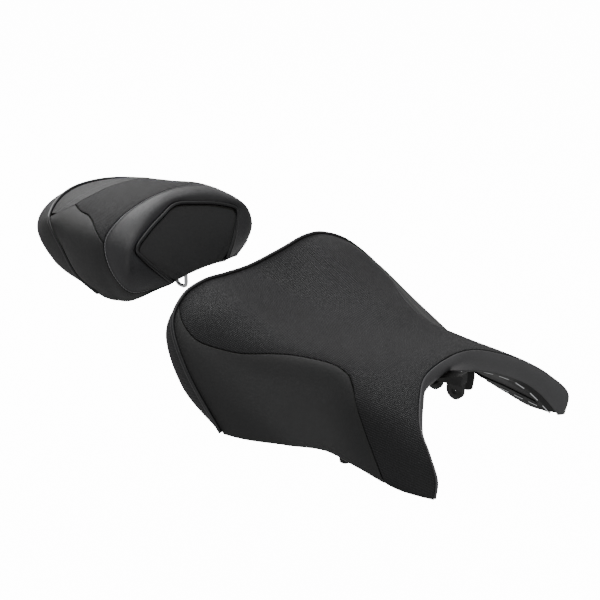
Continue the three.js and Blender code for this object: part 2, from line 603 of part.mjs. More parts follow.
// The striker that the bike's seat latch grips: a bent steel rod on a plate under the pillion pan.
function buildStriker() {
  const { x, wire, halfSpan, bottom, top } = STRIKER;
  const bend = new THREE.CurvePath();
  const corner = halfSpan * 0.75;
  const at = (dx, z) => new THREE.Vector3(x + dx, 0, z);
  bend.add(new THREE.LineCurve3(at(-halfSpan, top), at(-halfSpan, bottom + corner)));
  bend.add(new THREE.QuadraticBezierCurve3(at(-halfSpan, bottom + corner), at(-halfSpan, bottom), at(corner - halfSpan, bottom)));
  bend.add(new THREE.LineCurve3(at(corner - halfSpan, bottom), at(halfSpan - corner, bottom)));
  bend.add(new THREE.QuadraticBezierCurve3(at(halfSpan - corner, bottom), at(halfSpan, bottom), at(halfSpan, bottom + corner)));
  bend.add(new THREE.LineCurve3(at(halfSpan, bottom + corner), at(halfSpan, top)));
  const section = new THREE.Shape().absarc(0, 0, wire, 0, 2 * Math.PI);
  const rod = new THREE.ExtrudeGeometry(section, { steps: 18, curveSegments: 5, extrudePath: bend });
  put(pillionSeat, 'pillion_striker', rod, FINISH.steel);

  const plateTop = 4.6;
  const plateThickness = 2.5;
  let plate = solid(box(44, 30, plateThickness, x, 0, plateTop - plateThickness / 2));
  for (const side of [-1, 1]) {
    plate = plate.subtract(solid(post(wire + GAP, -10, 20, x + side * halfSpan, 0)));
    plate = plate.subtract(solid(post(2.6, -10, 20, x, side * 10)));
  }
  put(pillionSeat, 'pillion_striker_plate', geometryOf(plate), FINISH.steel);
  for (const side of [-1, 1]) {
    const name = `pillion_striker_screw_${side < 0 ? 'right' : 'left'}`;
    const head = solid(post(4.5, plateTop - plateThickness - GAP - 3, plateTop - plateThickness - GAP, x, 10 * side));
    const shank = solid(post(2.2, plateTop - plateThickness - 3, plateTop + 2.5, x, 10 * side, 12));
    put(pillionSeat, name, geometryOf(head.add(shank)), FINISH.steel);
  }
}

const riderBumpers = [
  ['front_right', 308, -30, 4, 26, 6.5],
  ['front_left', 308, 30, 4, 26, 6.5],
  ['middle_right', 266, -112, -64, 45, 8],
  ['middle_left', 266, 112, -64, 45, 8],
  ['rear_right', 60, -110, -12, 34, 9],
  ['rear_left', 60, 110, -12, 34, 9],
];
const pillionBumpers = [
  ['front_right', -140, -66, -9, 16, 8],
  ['front_left', -140, 66, -9, 16, 8],
  ['rear_right', -262, -58, -9, 18, 8],
  ['rear_left', -262, 58, -9, 18, 8],
];

buildRiderCovers();
buildRiderPan();
buildRiderTongue();
buildPillionCovers();
buildPillionPan();
buildStriker();
buildBumpers(riderSeat, rider, riderPanGrid, 'rider', riderBumpers);
buildBumpers(pillionSeat, pillion, pillionPanGrid, 'pillion', pillionBumpers);

export default seat;
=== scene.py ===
import json
import math

import bmesh
import bpy
import numpy as np
from mathutils import Matrix, Vector, kdtree, noise


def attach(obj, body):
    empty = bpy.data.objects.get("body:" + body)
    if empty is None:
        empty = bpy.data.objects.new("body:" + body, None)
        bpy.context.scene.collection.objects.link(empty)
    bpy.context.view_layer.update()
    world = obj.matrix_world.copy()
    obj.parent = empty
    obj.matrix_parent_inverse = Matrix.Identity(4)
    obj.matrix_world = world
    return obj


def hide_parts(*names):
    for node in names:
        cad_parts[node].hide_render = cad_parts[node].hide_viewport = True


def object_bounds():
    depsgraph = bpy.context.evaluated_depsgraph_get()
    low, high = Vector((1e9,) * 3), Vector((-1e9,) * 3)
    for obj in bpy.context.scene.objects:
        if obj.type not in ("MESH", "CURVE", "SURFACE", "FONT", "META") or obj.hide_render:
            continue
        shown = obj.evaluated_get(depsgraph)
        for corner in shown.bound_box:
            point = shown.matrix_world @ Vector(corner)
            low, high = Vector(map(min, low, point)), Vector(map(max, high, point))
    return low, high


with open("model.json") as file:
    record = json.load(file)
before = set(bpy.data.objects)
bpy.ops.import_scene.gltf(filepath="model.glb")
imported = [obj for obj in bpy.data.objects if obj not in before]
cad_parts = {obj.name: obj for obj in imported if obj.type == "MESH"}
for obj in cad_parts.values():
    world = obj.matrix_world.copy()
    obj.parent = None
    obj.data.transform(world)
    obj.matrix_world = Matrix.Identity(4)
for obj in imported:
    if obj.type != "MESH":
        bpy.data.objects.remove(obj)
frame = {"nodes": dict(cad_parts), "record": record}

bl_info = {
    "name": "Motorcycle seat set",
    "version": (1, 0, 0),
    "blender": (4, 5, 0),
    "location": "View3D > Sidebar > Seat set",
    "description": "Upholsters a rider seat and a tail seat around their moulded pans",
    "category": "Add Mesh",
}

CAD_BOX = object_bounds()
RIDER = "rider_seat"
PILLION = "pillion_seat"
MM = 0.001
HEM = 6.0  # column of the hem; the crown is column 0

# ---- forms of the two cushions ------------------------------------------------------------------
# Each section runs from the crown to the left hem, in millimetres.
RIDER_SECTIONS = [
    [(5, 0, 54), (12, 47, 62), (15, 88, 68), (17, 124, 61), (34, 157, 41), (78, 176, 3), (137, 180, -53)],
    [(55, 0, 42), (58, 45, 49), (62, 88, 58), (65, 128, 53), (82, 157, 26), (119, 171, -10), (174, 174, -48)],
    [(112, 0, 33), (115, 42, 38), (119, 82, 44), (124, 120, 36),
     (136, 142, 12), (171, 156, -16), (218, 160, -42)],
    [(170, 0, 30), (172, 38, 33), (174, 72, 36), (178, 98, 30),
     (188, 117, 8), (220, 131, -18), (260, 138, -41)],
    [(222, 0, 32), (223, 32, 32), (225, 60, 32), (229, 80, 26),
     (237, 97, 6), (264, 113, -22), (302, 127, -52)],
    [(270, 0, 37), (270, 33, 35), (272, 62, 30), (278, 82, 22),
     (292, 99, 6), (318, 112, -22), (352, 123, -58)],
    [(318, 0, 44), (320, 39, 39), (334, 66, 31), (359, 96, 16),
     (384, 111, 1), (404, 122, -19), (402, 122, -49)],
]
RIDER_REAR_FOOT = [
    (2, 0, 16), (6, 45, 18), (9, 88, 18), (14, 124, 12),
    (26, 152, -2), (65, 168, -32), (126, 174, -56),
]
RIDER_FRONT_FOOT = [
    (316, 0, 23), (312, 37, 9), (331, 65, 3), (354, 93, -12),
    (372, 104, -25), (386, 109, -38), (396, 113, -50),
]
# The arc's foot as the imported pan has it; the covers and the reshaped pan follow the one above.
PACKED_FRONT_FOOT = [
    (322, 0, 26), (328, 39, 14), (331, 66, 2), (354, 93, -12),
    (371, 104, -25), (383, 108, -38), (391, 112, -50),
]
RIDER_FLOOR_DROP = [36, 36, 35, 34, 33, 28, 18]
RIDER_FLOOR_SHAPE = [1, 1, 1, 0.88, 0.6, 0.2, -0.03]
RIDER_FLOOR_INSET = [0, 0, 4, 10, 13, 9, 3]
PILLION_SECTIONS = [
    [(-325, 0, 68), (-315, 38, 68), (-295, 73, 64), (-272, 95, 58),
     (-241, 102, 34), (-208, 106, 8), (-165, 107, -4)],
    [(-268, 0, 84), (-264, 38, 83), (-254, 72, 76), (-241, 98, 61),
     (-222, 108, 38), (-194, 111, 11), (-157, 107, -5)],
    [(-210, 0, 97), (-209, 40, 94), (-205, 74, 85), (-198, 102, 68),
     (-186, 113, 42), (-169, 113, 14), (-148, 106, -6)],
    [(-160, 0, 107), (-160, 42, 103), (-158, 78, 93), (-154, 105, 74),
     (-147, 115, 46), (-140, 112, 18), (-133, 102, -5)],
    [(-135, 0, 105), (-129, 42, 101), (-119, 77, 89), (-108, 103, 71),
     (-102, 110, 44), (-105, 103, 18), (-112, 90, -1)],
    [(-130, 0, 97), (-123, 30, 92), (-115, 62, 83), (-108, 87, 70),
     (-100, 80, 54), (-92, 66, 36), (-87, 49, 17)],
]
PILLION_REAR_FOOT = [
    (-336, 0, 10), (-327, 38, 10), (-306, 70, 8), (-273, 92, 4),
    (-248, 98, -1), (-216, 101, -3), (-171, 103, -5),
]
PILLION_FRONT_FOOT = [
    (-90, 0, 17), (-90, 9, 17), (-90, 17, 17), (-89, 24, 17), (-89, 31, 17), (-88, 39, 17), (-88, 47, 17),
]
PILLION_FLOOR_HEIGHT = 10

# Seams, as (u, v) on a cushion's top: u counts sections from the rear, v columns from the crown.
SHOULDER_SEAM = [
    (0.045, 3.3), (0.36, 3.68), (0.95, 3.8), (1.75, 3.52), (2.5, 3.1), (3.2, 2.87), (3.8, 2.85), (4.3, 3.1),
]
KNEE_SEAM = [(4.3, 3.1), (4.55, 3.7), (4.65, 4.5), (4.68, 5.3), (4.64, HEM)]
BAND_SEAM = [3.15, 3.14, 3.12, 3.1, 3.35, 3.9, 4.6]
REAR_SEAM = [0.95, 0.94, 0.62, 0.1]
GRIP_SIDE = [1.7, 2.0, 2.15, 2.5, 3.1]
GRIP_CORNER = 1.7  # column where the grip panel's side leaves its rear edge
SIDE_CORNER = 2.6  # column where the side cover leaves the rear strip
STRIP_END = 2.3
STRIP_LIP = 0.26  # from the stitched line to the grip panel
SIDE_REAR_SHARE = 0.25  # of a side cover's inner edge, what runs along the rear strip
KNEE_U = 4.64  # row where the knee seam reaches the hem
SHOULDER_SHARE, KNEE_SHARE = 0.6, 0.24  # of the top cover's edge, what follows each seam
REAR_EDGE = 0.03  # gap in rows between the rider's rear piping and the top cover
SIDE_REAR_EDGE = (0.055, 0.045)  # the same for the side cover, at its hem and at its top
FRONT_EDGE = 0.045
SLIT = 0.35  # millimetres between a seam line and the edge of each cover that meets in it
RIDER_STEP = 32  # millimetres per unit of u or v, about
PILLION_STEP = 40

# Reshaped CAD parts, in millimetres.
LUG_HALF = 6.1  # half the width that the front lugs' shelf is drawn in to
SHELF_HALF, SHELF_REAR, SHELF_LOW, SHELF_HIGH = 15, 317, 18.3, 21.7
STRIKER_RISE = 8.5  # how far the striker and its boss go up under the pillion's front edge
STRIKER_BACK = 7  # how far their front edge goes back

COVER_GRID = 2.6 * MM  # spacing of a cover's mesh
# The covers' swell and unevenness build up over a reach from the sewn edges.
SWELL_REACH = 30 * MM
UNEVEN, UNEVEN_REACH, UNEVEN_SIZE = 0.35 * MM, 20 * MM, 55 * MM
SEW_LINE = 0.3 * MM  # height of the stitches and the piping over the surface
HEM_GAP, HEM_HALF, STAPLE_GAP = 1.9 * MM, 0.55 * MM, 2.8 * MM  # under the pan
PAN_EDGE = {"rider": 5.75, "pillion": 5.6}  # column where a pan's underside ends


# ---- curves and surfaces ------------------------------------------------------------------------
def spline_weights(t, count):
    """Index and Catmull-Rom weights of the four neighbours of each t."""
    t = np.asarray(t, float)
    i = np.clip(np.floor(t).astype(int), 0, count - 2)
    f = t - i
    weights = [
        -(f**3) + 2 * f**2 - f,
        3 * f**3 - 5 * f**2 + 2,
        -3 * f**3 + 4 * f**2 + f,
        f**3 - f**2,
    ]
    return i, 0.5 * np.stack(weights, -1)


def extended(net, axis=0):
    """A net with one more row at each end, straight on."""
    net = np.moveaxis(np.asarray(net, float), axis, 0)
    net = np.concatenate([2 * net[:1] - net[1:2], net, 2 * net[-1:] - net[-2:-1]])
    return np.moveaxis(net, 0, axis)


def through(values, t):
    """Smooth value through a list at t, where t counts the list's entries."""
    values = np.asarray(values, float)
    i, w = spline_weights(t, len(values))
    net = extended(values)
    return sum(w[..., k].reshape(w.shape[:-1] + (1,) * (values.ndim - 1)) * net[i + k] for k in range(4))


def whole(half):
    """The right half mirrored from the left one, and the crown between them."""
    left = np.array(half, float) * MM
    right = left[:0:-1] * (1, -1, 1)
    return np.concatenate([right, left])


def lerp(a, b, t):
    return a + (b - a) * t


def unit(vectors):
    return vectors / np.linalg.norm(vectors, axis=-1, keepdims=True)


class Cushion:
    """The surfaces of a seat cushion: its top, its two ends and the pan's floor."""

    def __init__(self, sections, floor, rear_foot, front_foot, rear_bulge, front_bulge):
        self.nets = {"top": self.net(sections), "floor": self.net(floor)}
        self.feet = {"rear": whole(rear_foot), "front": whole(front_foot)}
        self.bulges = {"rear": np.array(rear_bulge) * MM, "front": np.array(front_bulge) * MM}
        self.front = len(sections) - 1

    @staticmethod
    def net(sections):
        return extended(extended(np.array([whole(s) for s in sections])), 1)

    def point(self, which, a, b):
        """A point of top(u, v), floor(u, v), rear(w, v) or front(w, v)."""
        a, b = np.broadcast_arrays(np.asarray(a, float), np.asarray(b, float))
        if which in self.feet:
            seam = self.point("top", np.full(b.shape, 0.0 if which == "rear" else self.front), b)
            foot = through(self.feet[which], b + HEM)
            swell = through(self.bulges[which], np.abs(b)) * np.sin(math.pi * a)
            out = lerp(seam, foot, a[..., None])
            out[..., 0] += -swell if which == "rear" else swell
            return out
        net = self.nets[which]
        i, wu = spline_weights(a, net.shape[0] - 2)
        j, wv = spline_weights(b + HEM, net.shape[1] - 2)
        return sum(
            wu[..., k, None] * wv[..., m, None] * net[i + k, j + m] for k in range(4) for m in range(4)
        )

    def outward(self, which, a, b):
        step = 0.02
        along_a = self.point(which, a + step, b) - self.point(which, a - step, b)
        along_b = self.point(which, a, b + step) - self.point(which, a, b - step)
        normal = unit(np.cross(along_a, along_b))
        return normal if which in ("top", "front") else -normal

    def raised(self, which, a, b, height):
        """The surface's point moved out of the cushion by a height."""
        a, b = np.broadcast_arrays(np.asarray(a, float), np.asarray(b, float))
        return self.point(which, a, b) + self.outward(which, a, b) * height


def rider_floor(front_foot):
    floor = [
        [
            (x, y - inset, z - drop * shape)
            for (x, y, z), inset, shape in zip(section, RIDER_FLOOR_INSET, RIDER_FLOOR_SHAPE)
        ]
        for section, drop in zip(RIDER_SECTIONS, RIDER_FLOOR_DROP)
    ]
    floor[0], floor[-1] = RIDER_REAR_FOOT, front_foot
    return floor


def pillion_floor():
    last = len(PILLION_SECTIONS) - 1
    floor = []
    for k, section in enumerate(PILLION_SECTIONS):
        hem_x, hem_y, hem_z = section[-1]
        middle_x = lerp(PILLION_REAR_FOOT[0][0], PILLION_FRONT_FOOT[0][0], k / last)
        row = []
        for c in range(len(section)):
            out = c / HEM
            row.append((
                lerp(middle_x, hem_x, out**2),
                (hem_y - 3) * out**0.85,
                lerp(PILLION_FLOOR_HEIGHT, hem_z + 1, out**3),
            ))
        floor.append(row)
    floor[0], floor[-1] = PILLION_REAR_FOOT, PILLION_FRONT_FOOT
    return floor


rider = Cushion(
    RIDER_SECTIONS, rider_floor(RIDER_FRONT_FOOT), RIDER_REAR_FOOT, RIDER_FRONT_FOOT,
    [12, 12, 12, 12, 11, 8, 3], [5, 5, 5, 5, 5, 5, 2],
)
pillion = Cushion(
    PILLION_SECTIONS, pillion_floor(), PILLION_REAR_FOOT, PILLION_FRONT_FOOT,
    [30, 30, 29, 26, 15, 6, 2], [3, 3, 3, 3, 2, 1, 0],
)


# ---- seam lines ---------------------------------------------------------------------------------
def along(points, t):
    """(u, v) on a smooth line through a few points."""
    points = np.asarray(points, float)
    uv = through(points, np.asarray(t, float) * (len(points) - 1))
    return uv[..., 0], uv[..., 1]


def coons(lower, upper, left, right, s, t):
    """(u, v) inside four boundary lines, each a function of 0 to 1."""
    one, zero = np.ones_like(s), np.zeros_like(s)

    def inside(k):
        across = lerp(lower(s)[k], upper(s)[k], t) + lerp(left(t)[k], right(t)[k], s)
        below = lerp(lower(zero)[k], lower(one)[k], s)
        above = lerp(upper(zero)[k], upper(one)[k], s)
        return across - lerp(below, above, t)

    return inside(0), inside(1)


def band_seam(v):
    return through(BAND_SEAM, np.abs(v))


def rear_seam(v):
    a = np.minimum(np.abs(v), SIDE_CORNER)
    return through(REAR_SEAM, np.where(a < 2, a, 2 + (a - 2) / (SIDE_CORNER - 2)))


def strip_seam(v):
    """Where the rear strip meets the grip panel, a little ahead of the stitched line."""
    inwards = np.clip((SIDE_CORNER - np.abs(v)) / (SIDE_CORNER - GRIP_CORNER), 0, 1)
    return rear_seam(v) + STRIP_LIP * inwards * inwards * (3 - 2 * inwards)


def grip_side(t):
    v = through(GRIP_SIDE, t * (len(GRIP_SIDE) - 1))
    return lerp(strip_seam(v), band_seam(v), t), v


def rider_side(s, t):
    slit = SLIT / RIDER_STEP
    last = len(SHOULDER_SEAM) - 1
    below = [(u - (2 * slit if i == last else 0), v + slit) for i, (u, v) in enumerate(SHOULDER_SEAM)]
    behind = [(u - 2 * slit, v + (slit if i == 0 else 0)) for i, (u, v) in enumerate(KNEE_SEAM)]
    return coons(
        lambda a: along([(SIDE_REAR_EDGE[0], HEM), (KNEE_U - 2 * slit, HEM)], a),
        lambda a: along(below, a),
        lambda b: (lerp(*SIDE_REAR_EDGE, b), lerp(HEM, SHOULDER_SEAM[0][1] + slit, b)),
        lambda b: along(behind, 1 - b),
        s, t,
    )


def rider_top(s, t):
    slit = SLIT / RIDER_STEP
    front_end = rider.front - FRONT_EDGE
    knee_end = SHOULDER_SHARE + KNEE_SHARE
    above = along([(u, v - slit) for u, v in SHOULDER_SEAM], np.clip(s / SHOULDER_SHARE, 0, 1))
    ahead = along([(u + 2 * slit, v) for u, v in KNEE_SEAM], np.clip((s - SHOULDER_SHARE) / KNEE_SHARE, 0, 1))
    hem_u = lerp(KNEE_U + 2 * slit, front_end, np.clip((s - knee_end) / (1 - knee_end), 0, 1))
    u = np.where(s < SHOULDER_SHARE, above[0], np.where(s < knee_end, ahead[0], hem_u))
    v = np.where(s < SHOULDER_SHARE, above[1], np.where(s < knee_end, ahead[1], HEM))
    across = 2 * t - 1
    return lerp(lerp(REAR_EDGE, front_end, s), u, np.abs(across) ** 1.5), v * across


# Gaps in rows, by column, between the pillion's covers and its piping, front and rear.
PILLION_FRONT_CLEAR = [0.28, 0.18, 0.17, 0.17, 0.11, 0.08, 0.07]
PILLION_REAR_CLEAR = [0.06, 0.06, 0.06, 0.08, 0.14, 0.34, 1.0]


def pillion_band(s, t):
    v = lerp(-HEM, HEM, s)
    clear = through(PILLION_FRONT_CLEAR, np.abs(v)) * 0.8
    return lerp(band_seam(v) + SLIT / PILLION_STEP, pillion.front - clear, t), v


def pillion_strip(s, t):
    v = lerp(-STRIP_END, STRIP_END, s)
    return lerp(through(PILLION_REAR_CLEAR, np.abs(v)), strip_seam(v) - SLIT / PILLION_STEP, t), v


def pillion_grip(s, t):
    slit = SLIT / PILLION_STEP
    v = (grip_side(t)[1] - 2 * slit) * (2 * s - 1)
    return lerp(strip_seam(v) + slit, band_seam(v) - slit, t), v


def pillion_side(s, t):
    slit = SLIT / PILLION_STEP

    def inner(a):
        v = lerp(SIDE_CORNER, GRIP_CORNER, np.clip(a / SIDE_REAR_SHARE, 0, 1))
        u2, v2 = grip_side(np.clip((a - SIDE_REAR_SHARE) / (1 - SIDE_REAR_SHARE), 0, 1))
        rear_part = a < SIDE_REAR_SHARE
        return np.where(rear_part, strip_seam(v) + 2 * slit, u2), np.where(rear_part, v, v2) + 2 * slit

    def rear(b):
        u0, v0 = inner(np.zeros_like(b))
        v = lerp(HEM, v0, b)
        return lerp(through(PILLION_REAR_CLEAR, np.abs(v)), u0, b**4), v

    def front(b):
        v = lerp(HEM, inner(np.ones_like(b))[1], b)
        return band_seam(v) - 2 * slit - 2 * slit * (1 - b), v

    hem = [(PILLION_REAR_CLEAR[6], HEM), (BAND_SEAM[6] - 4 * slit, HEM)]
    return coons(lambda a: along(hem, a), inner, rear, front, s, t)


def end_cover(clear, to, v_end):
    """(w, v) over an end of a cushion, from clear of its seam down to the pan's edge."""
    def domain(s, t):
        v = lerp(-v_end, v_end, s)
        return lerp(through(clear, np.abs(v)), to, t), v
    return domain


# ---- meshes -------------------------------------------------------------------------------------
def new_object(name, verts, faces, uvs=None):
    """A smooth mesh object, with its faces turned out."""
    mesh = bpy.data.meshes.new(name)
    mesh.from_pydata(np.asarray(verts).tolist(), [], [list(map(int, f)) for f in faces])
    if uvs is not None:
        layer = mesh.uv_layers.new(name="UVMap")
        corners = np.empty(len(mesh.loops), int)
        mesh.loops.foreach_get("vertex_index", corners)
        layer.data.foreach_set("uv", np.asarray(uvs)[corners].ravel())
    obj = bpy.data.objects.new(name, mesh)
    bpy.context.collection.objects.link(obj)
    turn_out(obj)
    mesh.shade_smooth()
    return obj


def turn_out(obj):
    shell = bmesh.new()
    shell.from_mesh(obj.data)
    bmesh.ops.remove_doubles(shell, verts=shell.verts, dist=1e-7)
    bmesh.ops.recalc_face_normals(shell, faces=shell.faces)
    if shell.calc_volume(signed=True) < 0:
        bmesh.ops.reverse_faces(shell, faces=shell.faces)
    shell.to_mesh(obj.data)
    shell.free()


def grid_faces(rows, columns, first=0, closed_columns=False):
    """Quads of a grid of points stored row by row."""
    across = np.arange(columns if closed_columns else columns - 1)
    i, j = (n.ravel() for n in np.meshgrid(np.arange(rows - 1), across, indexing="ij"))
    k = (j + 1) % columns
    quads = [i * columns + j, (i + 1) * columns + j, (i + 1) * columns + k, i * columns + k]
    return np.stack(quads, -1) + first


def between(outer, inner):
    """Points and faces of the closed body between two grids of points."""
    rows, columns = outer.shape[:2]
    count = rows * columns
    verts = np.concatenate([outer.reshape(-1, 3), inner.reshape(-1, 3)])
    faces = [grid_faces(rows, columns), grid_faces(rows, columns, count)[:, ::-1]]
    rim = np.concatenate([
        np.arange(columns),
        np.arange(1, rows) * columns + columns - 1,
        (rows - 1) * columns + np.arange(columns - 2, -1, -1),
        np.arange(rows - 2, 0, -1) * columns,
    ])
    following = np.roll(rim, -1)
    faces.append(np.stack([rim, following, following + count, rim + count], -1))
    return verts, np.concatenate(faces)


def lines_across(length):
    """Places from 0 to 1, even in the middle and closer towards both edges, to round the edges."""
    near = np.array([0, 0.3, 0.7, 1.2, 1.9, 3.0, 4.6]) * MM
    near = near[near < length / 3]
    count = max(2, round((length - 2 * near[-1]) / COVER_GRID))
    middle = np.linspace(near[-1], length - near[-1], count + 1)[1:-1]
    return np.concatenate([near, middle, length - near[::-1]]) / length


def lengths(points, axis):
    """Distance run along a grid's lines, from their start."""
    run = np.linalg.norm(np.diff(points, axis=axis), axis=-1)
    zero = np.zeros_like(np.take(run, [0], axis))
    return np.concatenate([zero, np.cumsum(run, axis)], axis)


def ripple(points, size, amount, seed):
    """Slow, small unevenness of a stretched cover."""
    flat = points.reshape(-1, 3) / size
    values = [noise.noise(Vector(p) + Vector((seed, 0, 0))) for p in flat]
    return np.array(values).reshape(points.shape[:-1]) * amount


def cover_panel(name, cushion, surface, domain, sewn=(1, 1, 1, 1), swell=0.8):
    """A sewn panel of padded cover, closed all round. Its sewn edges, in the order start and end
    of s, start and end of t, roll down into their seams. An edge given as (low, high) is sewn
    only between those places."""
    sewing = bpy.context.scene.seat_sewing
    coarse = np.linspace(0, 1, 24)
    s, t = np.meshgrid(coarse, coarse, indexing="ij")
    rough = cushion.point(surface, *domain(s, t))
    long_s = np.median(lengths(rough, 0)[-1])
    long_t = np.median(lengths(rough, 1)[:, -1])
    s, t = np.meshgrid(lines_across(long_s), lines_across(long_t), indexing="ij")
    a, b = domain(s, t)
    points = cushion.point(surface, a, b)
    run_s, run_t = lengths(points, 0), lengths(points, 1)
    gaps = [run_s, run_s[-1:] - run_s, run_t, run_t[:, -1:] - run_t]
    edge = np.full(s.shape, 1.0)
    for gap, is_sewn, place in zip(gaps, sewn, (t, t, s, s)):
        if is_sewn:
            low, high = is_sewn if isinstance(is_sewn, tuple) else (0, 1)
            beyond = np.maximum(low - place, 0) + np.maximum(place - high, 0)
            edge = np.minimum(edge, gap + beyond * 0.3)
    radius = sewing.seam_radius
    inside = radius - np.minimum(edge, radius)
    roll = radius - np.sqrt(np.maximum(radius**2 - inside**2, 0))
    valley = sewing.seam_valley * np.exp(-edge / sewing.seam_reach)
    rise = swell * MM * (1 - np.exp(-edge / SWELL_REACH))
    waves = ripple(points, UNEVEN_SIZE, UNEVEN, len(name)) * (1 - np.exp(-edge / UNEVEN_REACH))
    normal = cushion.outward(surface, a, b)
    outer = points + normal * (rise - roll - valley + waves)[..., None]
    verts, faces = between(outer, points - normal * sewing.cover_thickness)
    middle_s, middle_t = s.shape[0] // 2, s.shape[1] // 2
    uv = np.stack([run_s - run_s[middle_s], run_t - run_t[:, middle_t : middle_t + 1]], -1).reshape(-1, 2)
    return new_object(name, verts, faces, np.concatenate([uv, uv]))


def foam_block(name, cushion, v_end):
    """The moulded foam under the covers, down to the pan."""
    stops = [("rear", w) for w in np.linspace(0.85, 0.1, 4)]
    stops += [("top", u) for u in np.linspace(0.06, cushion.front - 0.06, 70)]
    stops += [("front", w) for w in np.linspace(0.1, 0.88, 4)]
    v = np.linspace(-v_end, v_end, 90)
    deep = bpy.context.scene.seat_sewing.cover_thickness + 0.5 * MM
    outer = np.array([cushion.raised(which, a, v, -deep) for which, a in stops])
    rows = np.linspace(0.16, cushion.front - 0.12, len(stops))
    inner = np.array([cushion.raised("floor", u, v, -4.2 * MM) for u in rows])
    return new_object(name, *between(outer, inner))


def sweep(path, ahead, up, profile):
    """Points and faces of a closed tube: profile holds (side, up) offsets, path its middle line."""
    side = unit(np.cross(ahead, up))
    up = np.cross(side, ahead)
    rings = path[:, None] + profile[None, :, :1] * side[:, None] + profile[None, :, 1:] * up[:, None]
    rows, columns = rings.shape[:2]
    verts = np.concatenate([rings.reshape(-1, 3), path[:1], path[-1:]])
    faces = [list(f) for f in grid_faces(rows, columns, 0, True)]
    for j in range(columns):
        k = (j + 1) % columns
        faces.append([rows * columns, k, j])
        faces.append([rows * columns + 1, (rows - 1) * columns + j, (rows - 1) * columns + k])
    return verts, faces


def piping(name, cushion, u, lip_angle):
    """Piping sewn along a section: a round bead with a low lip on the side of the end cover."""
    v = np.linspace(-5.98, 5.98, 240)
    path = cushion.raised("top", u, v, SEW_LINE)
    ahead = unit(np.gradient(path, axis=0))
    up = cushion.outward("top", u, v)
    angle = np.linspace(0, 2 * math.pi, 24, endpoint=False)
    apart = np.abs((angle - lip_angle + math.pi) % (2 * math.pi) - math.pi)
    lip = 0.42 * np.exp(-((apart / 0.3) ** 2))
    crease = 0.1 * np.exp(-(((apart - 0.62) / 0.2) ** 2))
    radius = bpy.context.scene.seat_sewing.piping_radius * (1 + lip - crease)
    profile = np.stack([radius * np.cos(angle), radius * np.sin(angle)], -1)
    return new_object(name, *sweep(path, ahead, up, profile))


def hem_strip(name, edge, under, seed):
    """The cover's edge turned in under the pan: edge and under are rows of points, outermost first."""
    rows = np.array([edge, *under])
    points = np.moveaxis(through(rows, np.linspace(0, len(rows) - 1, 22)), 0, 1)
    inwards = np.linspace(0, 1, points.shape[1]) ** 2
    places = np.linspace(0, 26, points.shape[0])
    wave = np.array([noise.noise(Vector((p, seed, 0))) for p in places])
    points[..., 2] -= 0.5 * MM * np.abs(wave)[:, None] * inwards[None]
    normal = unit(np.cross(np.gradient(points, axis=0), np.gradient(points, axis=1)))
    if normal[..., 2].mean() > 0:
        normal = -normal
    verts, faces = between(points + normal * HEM_HALF, points - normal * HEM_HALF)
    run_s, run_t = lengths(points, 0), lengths(points, 1)
    uv = np.stack([run_s, run_t], -1).reshape(-1, 2)
    return new_object(name, verts, faces, np.concatenate([uv, uv]))


def clear_selection():
    if bpy.context.object and bpy.context.object.mode != "OBJECT":
        bpy.ops.object.mode_set(mode="OBJECT")
    bpy.ops.object.select_all(action="DESELECT")


def stamp(name, pattern, places):
    """One mesh of copies of a small pattern object; places are matrices. The pattern is removed."""
    pattern_verts = np.array([v.co[:] for v in pattern.data.vertices])
    pattern_faces = [list(p.vertices) for p in pattern.data.polygons]
    verts, faces = [], []
    for k, place in enumerate(places):
        m = np.array(place)
        verts.append(pattern_verts @ m[:3, :3].T + m[:3, 3])
        faces += [[i + k * len(pattern_verts) for i in f] for f in pattern_faces]
    obj = new_object(name, np.concatenate(verts), faces)
    bpy.data.objects.remove(pattern)
    return obj


def stitch_pattern(length, radius):
    """A single stitch: a strand that rises from one hole and dips into the next."""
    clear_selection()
    bpy.ops.mesh.primitive_cylinder_add(vertices=6, radius=radius, depth=length, end_fill_type="NGON")
    stitch = bpy.context.object
    bpy.ops.object.transform_apply(location=True, rotation=True, scale=True)
    bpy.ops.object.mode_set(mode="EDIT")
    bpy.ops.mesh.select_all(action="SELECT")
    bpy.ops.transform.rotate(value=math.pi / 2, orient_axis="Y", center_override=(0, 0, 0))
    for x in (length * 0.3, -length * 0.3):
        bpy.ops.mesh.select_all(action="SELECT")
        bpy.ops.mesh.bisect(plane_co=(x, 0, 0), plane_no=(1, 0, 0))
    bpy.ops.object.mode_set(mode="OBJECT")
    for vertex in stitch.data.vertices:
        if abs(vertex.co.x) > length * 0.4:
            vertex.co.z -= radius * 1.5
            vertex.co.y *= 0.7
    return stitch


